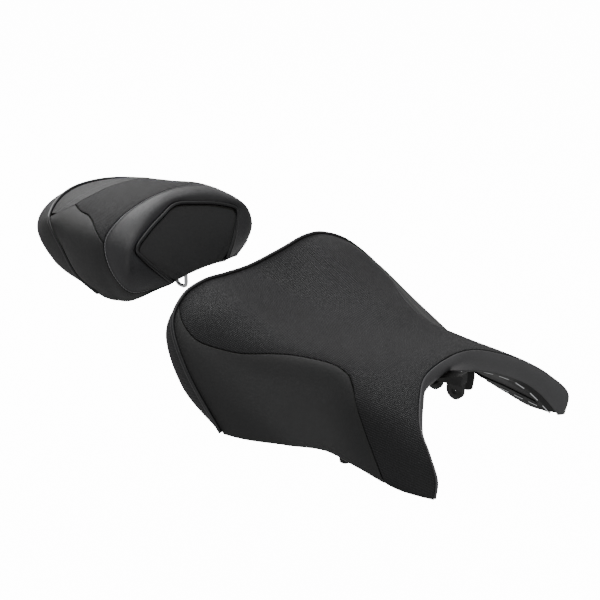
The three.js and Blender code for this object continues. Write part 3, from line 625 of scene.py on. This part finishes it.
def staple_pattern(width, wire, leg):
    """A staple seen from outside: its bent-over crown, with the two legs driven in."""
    clear_selection()
    bpy.ops.mesh.primitive_cube_add(size=1, location=(0, 0, 0), scale=(width, wire * 1.7, wire))
    staple = bpy.context.object
    bpy.ops.object.transform_apply(location=True, rotation=True, scale=True)
    shell = bmesh.new()
    shell.from_mesh(staple.data)
    cut = width / 2 - wire * 1.4
    for x in (cut, -cut):
        whole_shell = shell.verts[:] + shell.edges[:] + shell.faces[:]
        bmesh.ops.bisect_plane(shell, geom=whole_shell, plane_co=(x, 0, 0), plane_no=(1, 0, 0))
    under = [f for f in shell.faces if f.normal.z < -0.9]
    ends = [f for f in under if abs(f.calc_center_median().x) > width / 2 - wire * 1.2]
    legs = bmesh.ops.extrude_face_region(shell, geom=ends)
    moved = [g for g in legs["geom"] if isinstance(g, bmesh.types.BMVert)]
    bmesh.ops.translate(shell, verts=moved, vec=(0, 0, -leg))
    bmesh.ops.delete(shell, geom=ends, context="FACES_ONLY")
    shell.to_mesh(staple.data)
    shell.free()
    bpy.ops.object.mode_set(mode="EDIT")
    bpy.ops.mesh.select_all(action="SELECT")
    bpy.ops.mesh.bevel(offset=wire * 0.3, segments=2)
    bpy.ops.object.mode_set(mode="OBJECT")
    return staple


def frames(points, normals):
    """Matrices at points, x along their line and z along the normals."""
    ahead = np.gradient(points, axis=0)
    places = []
    for p, x, z in zip(points, ahead, normals):
        x, z = Vector(x).normalized(), Vector(z).normalized()
        y = z.cross(x).normalized()
        x = y.cross(z)
        m = Matrix((x, y, z)).transposed().to_4x4()
        m.translation = Vector(p)
        places.append(m)
    return places


def evenly(points, normals, pitch):
    """Points and normals every pitch along a line of points."""
    run = np.concatenate([[0], np.cumsum(np.linalg.norm(np.diff(points, axis=0), axis=1))])
    at = np.arange(pitch / 2, run[-1], pitch)
    pick = lambda values: np.stack([np.interp(at, run, values[:, k]) for k in range(3)], -1)
    return pick(points), pick(normals)


# ---- finishes -----------------------------------------------------------------------------------
class Value:
    """A shader socket that takes part in arithmetic."""

    def __init__(self, shader, socket):
        self.shader, self.socket = shader, socket

    def _with(self, operation, *operands):
        inputs = {i: operand for i, operand in enumerate(operands)}
        return self.shader.node("ShaderNodeMath", {"operation": operation}, inputs).value()

    def __add__(self, other):
        return self._with("ADD", self, other)

    def __sub__(self, other):
        return self._with("SUBTRACT", self, other)

    def __rsub__(self, other):
        return self._with("SUBTRACT", other, self)

    def __mul__(self, other):
        return self._with("MULTIPLY", self, other)

    __radd__, __rmul__ = __add__, __mul__

    def absolute(self):
        return self._with("ABSOLUTE", self)

    def sine(self):
        return self._with("SINE", self)

    def within(self, low, high):
        settings = {"clamp": True}
        inputs = {"Value": self, "From Min": low, "From Max": high}
        return self.shader.node("ShaderNodeMapRange", settings, inputs).value("Result")


class Made:
    """A node in a material, with its outputs as values."""

    def __init__(self, shader, node):
        self.shader, self.node = shader, node

    def value(self, name=0):
        return Value(self.shader, self.node.outputs[name])


class Finish:
    """A material under construction."""

    def __init__(self, name):
        self.material = bpy.data.materials.new(name)
        self.material.use_nodes = True
        self.tree = self.material.node_tree
        self.tree.nodes.clear()

    def node(self, kind, settings=None, inputs=None):
        node = self.tree.nodes.new(kind)
        for key, setting in (settings or {}).items():
            setattr(node, key, setting)
        for key, given in (inputs or {}).items():
            socket = node.inputs[key]
            if isinstance(given, Value):
                self.tree.links.new(given.socket, socket)
            else:
                socket.default_value = given
        return Made(self, node)

    def coordinates(self, kind="UV"):
        return self.node("ShaderNodeTexCoord").value(kind)

    def blend(self, factor, first, second):
        inputs = {0: factor, 6: first, 7: second}
        return self.node("ShaderNodeMix", {"data_type": "RGBA"}, inputs).value(2)

    def speckle(self, where, scale, detail=2.0, roughness=0.5):
        inputs = {"Vector": where, "Scale": scale, "Detail": detail, "Roughness": roughness}
        return self.node("ShaderNodeTexNoise", None, inputs).value(0)

    def cells(self, where, scale):
        """Distance to the nearest edge between cells."""
        settings, inputs = {"feature": "DISTANCE_TO_EDGE"}, {"Vector": where, "Scale": scale}
        return self.node("ShaderNodeTexVoronoi", settings, inputs).value("Distance")

    def bump(self, height, distance, below=None):
        inputs = {"Height": height, "Distance": distance, "Strength": 1.0}
        if below:
            inputs["Normal"] = below
        return self.node("ShaderNodeBump", None, inputs).value("Normal")

    def surface(self, **inputs):
        names = {key.replace("_", " ").title().replace("Ior", "IOR"): given for key, given in inputs.items()}
        shader = self.node("ShaderNodeBsdfPrincipled", None, names)
        self.node("ShaderNodeOutputMaterial", None, {"Surface": shader.value()})
        return self.material


def shade(colour, factor):
    return (*[min(1.0, c * factor) for c in colour[:3]], 1.0)


def grip_vinyl(colour):
    """Anti-slip cover: fine crossed ribbing broken up into grains, with painted shade in its grooves and a
    painted highlight on its ridges.
    """
    look = Finish("grip_vinyl")
    place = look.coordinates("Object")
    axes = look.node("ShaderNodeSeparateXYZ", None, {"Vector": place})
    along_seat = axes.value("X")
    round_seat = axes.value("Y").absolute() * 0.8 - axes.value("Z") * 0.6
    pitch = 2 * math.pi / 0.0042
    wander = look.speckle(place, 190, 1.0) * 1.1
    one = ((along_seat + round_seat) * pitch + wander).sine()
    other = ((along_seat - round_seat) * pitch + wander).sine()
    lattice = (one * other).within(-0.6, 0.9)
    grain = look.cells(place, 360).within(0.0, 0.4)
    height = lattice * 0.9 + grain * 0.35
    patches = look.speckle(place, 22, 3.0)
    # Painted shade and highlight: the colour runs from dark in the grooves of the ribbing and grain to light
    # on their ridges.
    tint = look.blend(height.within(0.2, 1.1), shade(colour, 0.3), shade(colour, 1.8))
    tint = look.blend(patches.within(0.35, 0.7) * 0.22, tint, shade(colour, 1.55))
    fine = look.bump(look.speckle(place, 2400, 1.0), 0.00006)
    return look.surface(
        base_color=tint, roughness=(height * -0.12 + 0.66), normal=look.bump(height, 0.0007, fine),
        specular_ior_level=0.34,
    )


def smooth_vinyl(name, colour, roughness, grain_depth=0.00009):
    """Plain cover with a fine leather grain, with painted shade along the grain's creases."""
    look = Finish(name)
    uv = look.coordinates()
    creases = look.cells(uv, 820).within(0.0, 0.18)
    soft = look.speckle(uv, 90, 4.0)
    # Painted shade: the colour darkens along the grain's creases, where the bump sinks.
    tint = look.blend(creases, shade(colour, 0.82), colour)
    tint = look.blend(soft.within(0.4, 0.75) * 0.16, tint, shade(colour, 1.4))
    height = creases + look.speckle(uv, 1500, 1.0) * 0.6
    return look.surface(
        base_color=tint, roughness=(soft * 0.12 + (roughness - 0.06)), normal=look.bump(height, grain_depth),
        specular_ior_level=0.45,
    )


def gloss_piping(colour):
    """Glossy moulded piping, with faint waves from the sewing."""
    look = Finish("gloss_piping")
    place = look.coordinates("Object")
    waves = look.speckle(place, 130, 2.0)
    dust = look.speckle(place, 900, 3.0)
    return look.surface(
        base_color=look.blend(dust.within(0.55, 0.8) * 0.3, colour, shade(colour, 2.4)),
        roughness=(dust * 0.1 + 0.3), normal=look.bump(waves, 0.0004), coat_weight=0.12, coat_roughness=0.15,
    )


def moulded_plastic(name, colour):
    """Injection-moulded plastic, and the painted shade black of the striker's base: fine grain with slight
    flow marks.
    """
    look = Finish(name)
    place = look.coordinates("Object")
    spark = look.speckle(place, 1500, 3.0, 0.6)
    flow = look.speckle(place, 16, 2.0)
    tint = look.blend(flow.within(0.4, 0.7) * 0.4, colour, shade(colour, 1.8))
    return look.surface(
        base_color=tint, roughness=(flow * 0.15 + 0.4), normal=look.bump(spark, 0.00012),
        specular_ior_level=0.4,
    )


def rubber(colour):
    look = Finish("bumper_rubber")
    place = look.coordinates("Object")
    bloom = look.speckle(place, 60, 4.0, 0.6)
    pores = look.speckle(place, 1100, 2.0)
    tint = look.blend(bloom.within(0.5, 0.8) * 0.35, colour, shade(colour, 3.0))
    return look.surface(base_color=tint, roughness=(bloom * 0.15 + 0.7), normal=look.bump(pores, 0.0001))


def steel(name, colour, roughness):
    """Zinc-plated steel with fine draw marks."""
    look = Finish(name)
    place = look.coordinates("Object")
    drawn = look.node("ShaderNodeMapping", None, {"Vector": place, "Scale": (1.0, 14.0, 14.0)}).value()
    marks = look.speckle(drawn, 160, 3.0)
    stains = look.speckle(place, 70, 4.0, 0.6)
    return look.surface(
        base_color=look.blend(stains.within(0.5, 0.8) * 0.4, colour, shade(colour, 0.55)),
        metallic=1.0, roughness=(marks * 0.14 + roughness), normal=look.bump(marks, 0.00003),
    )


def open_foam(colour):
    look = Finish("seat_foam")
    place = look.coordinates("Object")
    pores = look.cells(place, 420)
    clouds = look.speckle(place, 30, 3.0)
    return look.surface(
        base_color=look.blend(clouds, shade(colour, 0.8), shade(colour, 1.15)),
        roughness=0.95, normal=look.bump(pores.within(0.0, 0.3), 0.0008),
    )


def thread(name, colour):
    look = Finish(name)
    place = look.coordinates("Object")
    twist = look.speckle(place, 1800, 1.0)
    tint = look.blend(twist, shade(colour, 0.7), colour)
    return look.surface(base_color=tint, roughness=0.6, normal=look.bump(twist, 0.0001))


def studio_paper(colour, glow):
    look = Finish("studio_paper")
    place = look.coordinates("Object")
    mottle = look.speckle(place, 3, 2.0)
    return look.surface(
        base_color=look.blend(mottle * 0.04, colour, shade(colour, 0.9)), roughness=0.95,
        emission_color=colour, emission_strength=glow, specular_ior_level=0.0,
    )


FINISHES = {}


def finish(obj, name):
    obj.data.materials.clear()
    obj.data.materials.append(FINISHES[name])


def finish_cad(node, name):
    """A CAD node keeps its mesh and takes a finish in its object's own slots."""
    for slot in frame["nodes"][node].material_slots:
        slot.link = "OBJECT"
        slot.material = FINISHES[name]


# ---- settings -----------------------------------------------------------------------------------
def length_setting(name, description, default):
    return bpy.props.FloatProperty(
        name=name, description=description, default=default, min=0.0, precision=5,
        subtype="DISTANCE", unit="LENGTH",
    )


def power_setting(name, description, default):
    return bpy.props.FloatProperty(name=name, description=description, default=default, subtype="POWER")


def place_setting(name, description, default):
    return bpy.props.FloatVectorProperty(
        name=name, description=description, default=default, subtype="TRANSLATION"
    )


def colour_setting(name, description, default):
    return bpy.props.FloatVectorProperty(
        name=name, description=description, default=(*default, 1.0), size=4, min=0.0, max=1.0,
        subtype="COLOR",
    )


class SeatSewing(bpy.types.PropertyGroup):
    """Sizes of the covers, seams and fastenings."""

    cover_thickness: length_setting("Cover", "Thickness of the padded cover", 2.5 * MM)
    seam_radius: length_setting("Seam roll", "Radius at which a cover rolls into its seam", 1.0 * MM)
    seam_valley: length_setting("Seam valley", "Depth of the soft valley along a seam", 0.45 * MM)
    seam_reach: length_setting("Seam reach", "How far the valley reaches from the seam", 6 * MM)
    piping_radius: length_setting("Piping radius", "Radius of the piping's bead", 2.3 * MM)
    stitch_length: length_setting("Stitch", "Length of one stitch", 3.0 * MM)
    stitch_pitch: length_setting("Stitch pitch", "From one stitch to the next", 3.9 * MM)
    thread_radius: length_setting("Thread radius", "Radius of the sewing thread", 0.42 * MM)
    staple_width: length_setting("Staple", "Width of a staple's crown", 12.5 * MM)
    staple_pitch: length_setting("Staple pitch", "From one staple to the next", 21 * MM)


class SeatColours(bpy.types.PropertyGroup):
    """Colours of the covers, piping, pans and thread."""

    grip: colour_setting("Grip cover", "Anti-slip cover of the seating surfaces", (0.0125, 0.0125, 0.0138))
    side: colour_setting("Side cover", "Plain cover of the sides", (0.0088, 0.0088, 0.0091))
    band: colour_setting("Band cover", "Plain cover of the front bands", (0.024, 0.024, 0.026))
    arc: colour_setting("Arc cover", "Plain cover of the rider seat's front arc", (0.08, 0.08, 0.083))
    panel: colour_setting("Front panel", "Matte cover of the pillion seat's front", (0.02, 0.02, 0.0205))
    piping: colour_setting("Piping", "Gloss piping", (0.004, 0.004, 0.005))
    plastic: colour_setting("Pan", "Moulded pans", (0.010, 0.010, 0.010))
    # This colour is also the near-black of the striker's base, which is painted shade.
    rubber: colour_setting("Bumpers", "Rubber bumpers", (0.006, 0.006, 0.006))
    steel: colour_setting("Steel", "Tongue, striker and screws", (0.55, 0.56, 0.57))
    foam: colour_setting("Foam", "Moulded foam under the covers", (0.05, 0.05, 0.045))
    thread: colour_setting("Thread", "Top-stitching on the pillion seat", (0.26, 0.26, 0.27))
    paper: colour_setting("Floor", "Studio floor", (0.92, 0.92, 0.92))


class SeatStudio(bpy.types.PropertyGroup):
    """Camera, light and floor."""

    camera_place: place_setting("Camera", "Place of the camera", (1.2045, -1.1783, 0.8622))
    camera_target: place_setting("Target", "Point that the camera looks at", (-0.0174, 0.1141, -0.044))
    lens: bpy.props.FloatProperty(
        name="Lens", description="Focal length in millimetres", default=90.0, min=10.0
    )
    floor_drop: length_setting("Floor drop", "How far the floor lies under the seats", 0.34)
    paper_glow: power_setting("Floor glow", "How brightly the floor and backdrop shine", 15.0)
    key_power: power_setting("Key light", "Power of the light above", 14.5)
    back_power: power_setting("Back light", "Power of the light behind", 23.0)
    fill_power: power_setting("Fill light", "Power of the light in front", 6.0)
    world_strength: bpy.props.FloatProperty(
        name="Surround", description="Strength of the white surround", default=0.5, min=0.0
    )


# ---- operators ----------------------------------------------------------------------------------
class SeatOperator(bpy.types.Operator):
    """What every piece's operator does: it makes the piece, and stops the script on any error."""

    bl_options = {"REGISTER", "UNDO"}

    def execute(self, context):
        clear_selection()
        self.make(context)
        return {"FINISHED"}


def settle(obj, look, body, node=None):
    """Gives a piece its finish and body, and hides the node it stands for."""
    finish(obj, look)
    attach(obj, body)
    if node:
        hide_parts(node)


def sewn_covers(cushion, body, covers):
    """Padded cover panels, each of which stands for a CAD panel."""
    for name, surface, domain, node, look, how in covers:
        obj = cover_panel(name, cushion, surface, domain, **how)
        settle(obj, look, body, node)


def mirrored(domain):
    """The same panel on the right side."""
    def other(s, t):
        u, v = domain(s, t)
        return u, -v
    return other


class SEATSET_OT_finishes(SeatOperator):
    """Makes the materials and puts them on the pans, bumpers and steel parts"""

    bl_idname = "seatset.finishes"
    bl_label = "Finishes"

    def make(self, context):
        chosen = context.scene.seat_colours
        c = {name: tuple(getattr(chosen, name)) for name in SeatColours.__annotations__}
        FINISHES.update(
            grip=grip_vinyl(c["grip"]),
            side=smooth_vinyl("side_vinyl", c["side"], 0.5),
            band=smooth_vinyl("band_vinyl", c["band"], 0.35),
            arc=smooth_vinyl("arc_vinyl", c["arc"], 0.46),
            panel=smooth_vinyl("panel_vinyl", c["panel"], 0.66, 0.00014),
            piping=gloss_piping(c["piping"]),
            plastic=moulded_plastic("moulded_plastic", c["plastic"]),
            rubber=rubber(c["rubber"]),
            steel=steel("plated_steel", c["steel"], 0.26),
            staple=steel("staple_wire", shade(c["steel"], 1.6), 0.3),
            # Painted shade: the striker's base is given near-black so that it reads as the shade under the
            # pillion's front.
            black_steel=moulded_plastic("black_paint", c["rubber"]),
            foam=open_foam(c["foam"]),
            thread=thread("top_thread", c["thread"]),
            paper=studio_paper(c["paper"], context.scene.seat_studio.paper_glow),
        )
        slots = {entry["node"]: entry["material_slot"] for entry in frame["record"]["subparts"]}
        looks = {"pan_plastic": "plastic", "rubber": "rubber", "steel": "steel"}
        for node, slot in slots.items():
            if slot in looks:
                finish_cad(node, looks[slot])


def reshaped(name, node, body, look, change):
    """A copy of a CAD node with some of its points moved, which stands for the node."""
    shell = bmesh.new()
    shell.from_mesh(frame["nodes"][node].data)
    bmesh.ops.remove_doubles(shell, verts=shell.verts, dist=1e-6)
    points = np.array([vertex.co[:] for vertex in shell.verts])
    for vertex, place in zip(shell.verts, change(points)):
        vertex.co = place
    mesh = bpy.data.meshes.new(name)
    shell.to_mesh(mesh)
    shell.free()
    obj = bpy.data.objects.new(name, mesh)
    bpy.context.collection.objects.link(obj)
    clear_selection()
    obj.select_set(True)
    bpy.context.view_layer.objects.active = obj
    bpy.ops.object.shade_smooth_by_angle(angle=math.radians(35))
    settle(obj, look, body, node)


def with_arc_foot(points):
    """The rider's pan, its edge drawn in along the arc and its shelf no wider than the lugs."""
    moved = points.copy()
    x, y, z = (points / MM).T
    near_lugs = (x > SHELF_REAR) & (np.abs(y) < SHELF_HALF) & (z < SHELF_HIGH)
    shelf = near_lugs & (np.abs(y) > LUG_HALF) & (z > SHELF_LOW)
    moved[shelf, 1] = np.sign(points[shelf, 1]) * LUG_HALF * MM
    root = near_lugs & (z > 20.5)
    moved[root, 2] += np.where(x[root] > 330, 10, 3) * MM
    moved[x > 343, 0] -= 2 * MM
    packed = Cushion(
        RIDER_SECTIONS, rider_floor(PACKED_FRONT_FOOT), RIDER_REAR_FOOT, PACKED_FRONT_FOOT, [0] * 7, [0] * 7
    )
    u, v = np.meshgrid(np.linspace(3.6, 6.1, 110), np.linspace(-6, 6, 200), indexing="ij")
    before = packed.point("floor", u, v).reshape(-1, 3)
    shift = rider.point("floor", u, v).reshape(-1, 3) - before
    tree = kdtree.KDTree(len(before))
    for k, place in enumerate(before):
        tree.insert(place, k)
    tree.balance()
    lugs = (x > 288) & (np.abs(y) < LUG_HALF + 1) & (z < SHELF_HIGH)
    for k in np.flatnonzero((x > 200) & ~shelf & ~lugs):
        index, gap = tree.find(points[k])[1:]
        moved[k] += shift[index] * np.clip((0.04 - gap) / 0.02, 0, 1)
    return moved


def with_low_boss_raised(points):
    """The pillion's pan, the boss over the striker drawn up under the front edge."""
    moved = points.copy()
    x, y, z = (points / MM).T
    boss = (x > -151) & (x < -98) & (np.abs(y) < 19) & (z < 12.5)
    moved[boss, 2] += STRIKER_RISE * MM
    moved[boss & (x > -101), 0] -= STRIKER_BACK * MM
    return moved


def raised_plate(points):
    """The striker's base, up with the boss and its front edge back."""
    moved = shifted(0, 0, STRIKER_RISE)(points)
    moved[points[:, 0] > -0.104, 0] -= STRIKER_BACK * MM
    return moved


def shifted(*by):
    return lambda points: points + np.array(by) * MM


class SEATSET_OT_pans(SeatOperator):
    """Reshapes the pans' edges, the striker's base and the bumpers beside them"""

    bl_idname = "seatset.pans"
    bl_label = "Pans"

    def make(self, context):
        reshaped("rider_pan_shell", "rider_pan", RIDER, "plastic", with_arc_foot)
        reshaped("pillion_pan_shell", "pillion_pan", PILLION, "plastic", with_low_boss_raised)
        # Painted shade: the striker's base takes the near-black finish that stands in for shade under the
        # pillion's front.
        reshaped("striker_base", "pillion_striker_plate", PILLION, "black_steel", raised_plate)
        up, back = shifted(0, 0, STRIKER_RISE), shifted(-8, 0, 0)
        for side in ("left", "right"):
            screw, bumper = f"pillion_striker_screw_{side}", f"rider_bumper_front_{side}"
            reshaped(f"striker_screw_{side}", screw, PILLION, "steel", up)
            reshaped(f"arc_bumper_{side}", bumper, RIDER, "rubber", back)


class SEATSET_OT_rider_covers(SeatOperator):
    """Makes the rider seat's cover panels"""

    bl_idname = "seatset.rider_covers"
    bl_label = "Rider covers"

    def make(self, context):
        side = {"sewn": (1, 1, 0, 1), "swell": 1.4}
        end = {"sewn": (0, 0, 1, 0), "swell": 1.0}
        band = end_cover([0.05, 0.05, 0.05, 0.05, 0.06, 0.08, 0.2], 0.97, 5.95)
        gusset = end_cover([0.06, 0.06, 0.06, 0.06, 0.07, 0.09, 0.16], 0.97, 5.97)
        sewn_covers(rider, RIDER, [
            ("rider_top", "top", rider_top, "rider_top_cover", "grip", {"swell": 1.2}),
            ("rider_side_left", "top", rider_side, "rider_side_cover_left", "side", side),
            ("rider_side_right", "top", mirrored(rider_side), "rider_side_cover_right", "side", side),
            ("rider_band", "front", band, "rider_front_band", "arc", end),
            ("rider_gusset", "rear", gusset, "rider_rear_gusset", "grip", end),
        ])


class SEATSET_OT_pillion_covers(SeatOperator):
    """Makes the pillion seat's cover panels"""

    bl_idname = "seatset.pillion_covers"
    bl_label = "Pillion covers"

    def make(self, context):
        side = {"sewn": ((0, 0.6), 1, 0, (0.25, 1)), "swell": 1.0}
        panel = end_cover([0.04, 0.04, 0.05, 0.06, 0.1, 0.22, 0.5], 0.97, 5.3)
        gusset = end_cover([0.05, 0.05, 0.05, 0.06, 0.08, 0.2, 0.48], 0.94, 5.4)
        strip_edges = (0, 0, 1, (0.14, 0.86))
        sewn_covers(pillion, PILLION, [
            ("pillion_band", "top", pillion_band, "pillion_front_band", "band", {"sewn": (0, 0, 1, 1)}),
            ("pillion_strip", "top", pillion_strip, "pillion_rear_strip", "side", {"sewn": strip_edges}),
            ("pillion_grip", "top", pillion_grip, "pillion_grip_panel", "grip", {"swell": 1.4}),
            ("pillion_side_left", "top", pillion_side, "pillion_side_cover_left", "side", side),
            ("pillion_side_right", "top", mirrored(pillion_side), "pillion_side_cover_right", "side", side),
            ("pillion_panel", "front", panel, "pillion_front_panel", "panel", {"sewn": (1, 1, 1, 0)}),
            ("pillion_gusset", "rear", gusset, "pillion_rear_gusset", "side", {"sewn": (0, 0, 1, 0)}),
        ])


class SEATSET_OT_foam(SeatOperator):
    """Makes the foam blocks of both seats"""

    bl_idname = "seatset.foam"
    bl_label = "Foam"

    def make(self, context):
        for name, cushion, node, body, v_end in (
            ("rider_foam_block", rider, "rider_foam", RIDER, 5.3),
            ("pillion_foam_block", pillion, "pillion_foam", PILLION, 5.2),
        ):
            settle(foam_block(name, cushion, v_end), "foam", body, node)


class SEATSET_OT_piping(SeatOperator):
    """Makes the piping of both seats"""

    bl_idname = "seatset.piping"
    bl_label = "Piping"

    def make(self, context):
        for name, cushion, u, node, body, lip in (
            ("rider_rear_piping", rider, 0, "rider_piping", RIDER, 215),
            ("pillion_back_piping", pillion, 0, "pillion_rear_piping", PILLION, 215),
            ("pillion_face_piping", pillion, pillion.front, "pillion_front_piping", PILLION, 325),
        ):
            bead = piping(name, cushion, u, math.radians(lip))
            settle(bead, "piping", body, node)


def stitch_row(name, u, v):
    """A row of stitches along a line on the pillion seat's top."""
    sewing = bpy.context.scene.seat_sewing
    points, normals = pillion.raised("top", u, v, SEW_LINE), pillion.outward("top", u, v)
    places = frames(*evenly(points, normals, sewing.stitch_pitch))
    obj = stamp(name, stitch_pattern(sewing.stitch_length, sewing.thread_radius), places)
    settle(obj, "thread", PILLION)


class SEATSET_OT_stitching(SeatOperator):
    """Sews the visible rows of top-stitching on the pillion seat"""

    bl_idname = "seatset.stitching"
    bl_label = "Stitching"

    def make(self, context):
        v = np.linspace(-5.7, 5.7, 400)
        stitch_row("band_stitches", band_seam(v) + 0.075, v)
        v = np.linspace(-2.25, 2.25, 200)
        stitch_row("strip_stitches", rear_seam(v) - 0.055, v)


def hem_lines(cushion, pan_v):
    """The three parts of a seat's hem: each an edge, the rows under it, and where staples go."""
    parts = {}
    u = np.linspace(0.3, cushion.front - 0.25, 220)
    for side, sign in (("left", 1), ("right", -1)):
        edge = cushion.raised("top", u, sign * 5.97, 0.2 * MM)
        under = [cushion.raised("floor", u, sign * (pan_v + d), HEM_GAP) for d in (0.05, -0.2, -0.45)]
        parts[side] = edge, under, cushion.raised("floor", u, sign * (pan_v - 0.2), STAPLE_GAP)
    v = np.linspace(-5.6, 5.6, 260)
    edge = cushion.raised("front", 0.97, v, 0.2 * MM)
    under = [cushion.raised("floor", cushion.front - d, v, HEM_GAP) for d in (0.1, 0.19, 0.28)]
    parts["front"] = edge, under, cushion.raised("floor", cushion.front - 0.16, v, STAPLE_GAP)
    return parts


class SEATSET_OT_hems(SeatOperator):
    """Turns the covers' edges in under the pans and staples them"""

    bl_idname = "seatset.hems"
    bl_label = "Hems and staples"

    def make(self, context):
        sewing = context.scene.seat_sewing
        for seat, cushion, body in (("rider", rider, RIDER), ("pillion", pillion, PILLION)):
            parts = hem_lines(cushion, PAN_EDGE[seat])
            for seed, (part, (edge, under, row)) in enumerate(parts.items()):
                hem = hem_strip(f"{seat}_hem_{part}", edge, under, seed * 3.7 + len(seat))
                settle(hem, "side", body)
                normals = np.cross(np.gradient(row, axis=0), under[-1] - under[0])
                normals *= np.where(normals[:, 2:] > 0, -1, 1)
                places = frames(*evenly(row, normals, sewing.staple_pitch))
                pattern = staple_pattern(sewing.staple_width, 0.8 * MM, 2 * MM)
                staples = stamp(f"{seat}_staples_{part}", pattern, places)
                settle(staples, "staple", body)


def aim(obj, target):
    direction = Vector(target) - obj.location
    obj.rotation_euler = direction.to_track_quat("-Z", "Y").to_euler()


def soft_light(name, place, size, power, target=(0.02, 0, 0)):
    data = bpy.data.lights.new(name, "AREA")
    data.shape = "RECTANGLE"
    data.size, data.size_y = size
    data.energy = power
    light = bpy.data.objects.new(name, data)
    light.location = place
    bpy.context.collection.objects.link(light)
    aim(light, target)


class SEATSET_OT_studio(SeatOperator):
    """Sets up the floor, the lights and the camera"""

    bl_idname = "seatset.studio"
    bl_label = "Studio"

    def make(self, context):
        scene = context.scene
        studio = scene.seat_studio
        low = CAD_BOX[0][2] - studio.floor_drop
        bpy.ops.mesh.primitive_uv_sphere_add(segments=96, ring_count=48, radius=8, location=(0, 0, low))
        floor = context.object
        floor.name = "studio_cove"
        bpy.ops.object.transform_apply(location=True, rotation=True, scale=True)
        for vertex in floor.data.vertices:
            vertex.co.z = max(vertex.co.z, low)
        floor.data.shade_smooth()
        for kind in ("diffuse", "glossy", "shadow"):
            setattr(floor, f"visible_{kind}", False)
        finish(floor, "paper")

        world = bpy.data.worlds.new("white_surround")
        world.use_nodes = True
        surround = world.node_tree.nodes["Background"].inputs
        surround["Color"].default_value = (1, 1, 1, 1)
        surround["Strength"].default_value = studio.world_strength
        scene.world = world
        soft_light("light_above", (-0.2, 0.25, 1.7), (1.8, 1.4), studio.key_power)
        soft_light("light_behind", (-1.7, 0.7, 1.2), (1.4, 1.2), studio.back_power)
        soft_light("light_front", (1.4, -1.7, 0.8), (1.6, 1.2), studio.fill_power)

        lens = bpy.data.cameras.new("camera")
        lens.lens = studio.lens
        lens.sensor_width = 36.0
        lens.dof.use_dof = False
        camera = bpy.data.objects.new("camera", lens)
        camera.location = studio.camera_place
        aim(camera, studio.camera_target)
        context.collection.objects.link(camera)
        scene.camera = camera


class SEATSET_PT_sidebar(bpy.types.Panel):
    """Lists what the add-on makes"""

    bl_idname = "SEATSET_PT_sidebar"
    bl_label = "Motorcycle seat set"
    bl_space_type = "VIEW_3D"
    bl_region_type = "UI"
    bl_category = "Seat set"

    def draw(self, context):
        for operator in OPERATORS:
            self.layout.operator(operator.bl_idname)
        for group in (context.scene.seat_sewing, context.scene.seat_colours, context.scene.seat_studio):
            box = self.layout.box()
            for name in group.__annotations__:
                box.prop(group, name)


OPERATORS = [
    SEATSET_OT_finishes,
    SEATSET_OT_pans,
    SEATSET_OT_foam,
    SEATSET_OT_rider_covers,
    SEATSET_OT_pillion_covers,
    SEATSET_OT_piping,
    SEATSET_OT_stitching,
    SEATSET_OT_hems,
    SEATSET_OT_studio,
]
GROUPS = {"seat_sewing": SeatSewing, "seat_colours": SeatColours, "seat_studio": SeatStudio}


def register():
    for cls in [*GROUPS.values(), *OPERATORS, SEATSET_PT_sidebar]:
        bpy.utils.register_class(cls)
    for name, group in GROUPS.items():
        setattr(bpy.types.Scene, name, bpy.props.PointerProperty(type=group))


def unregister():
    for name in GROUPS:
        delattr(bpy.types.Scene, name)
    for cls in reversed([*GROUPS.values(), *OPERATORS, SEATSET_PT_sidebar]):
        bpy.utils.unregister_class(cls)


def main():
    register()
    for operator in OPERATORS:
        family, name = operator.bl_idname.split(".")
        getattr(getattr(bpy.ops, family), name)()
    bpy.context.view_layer.update()


if __name__ == "__main__":
    main()
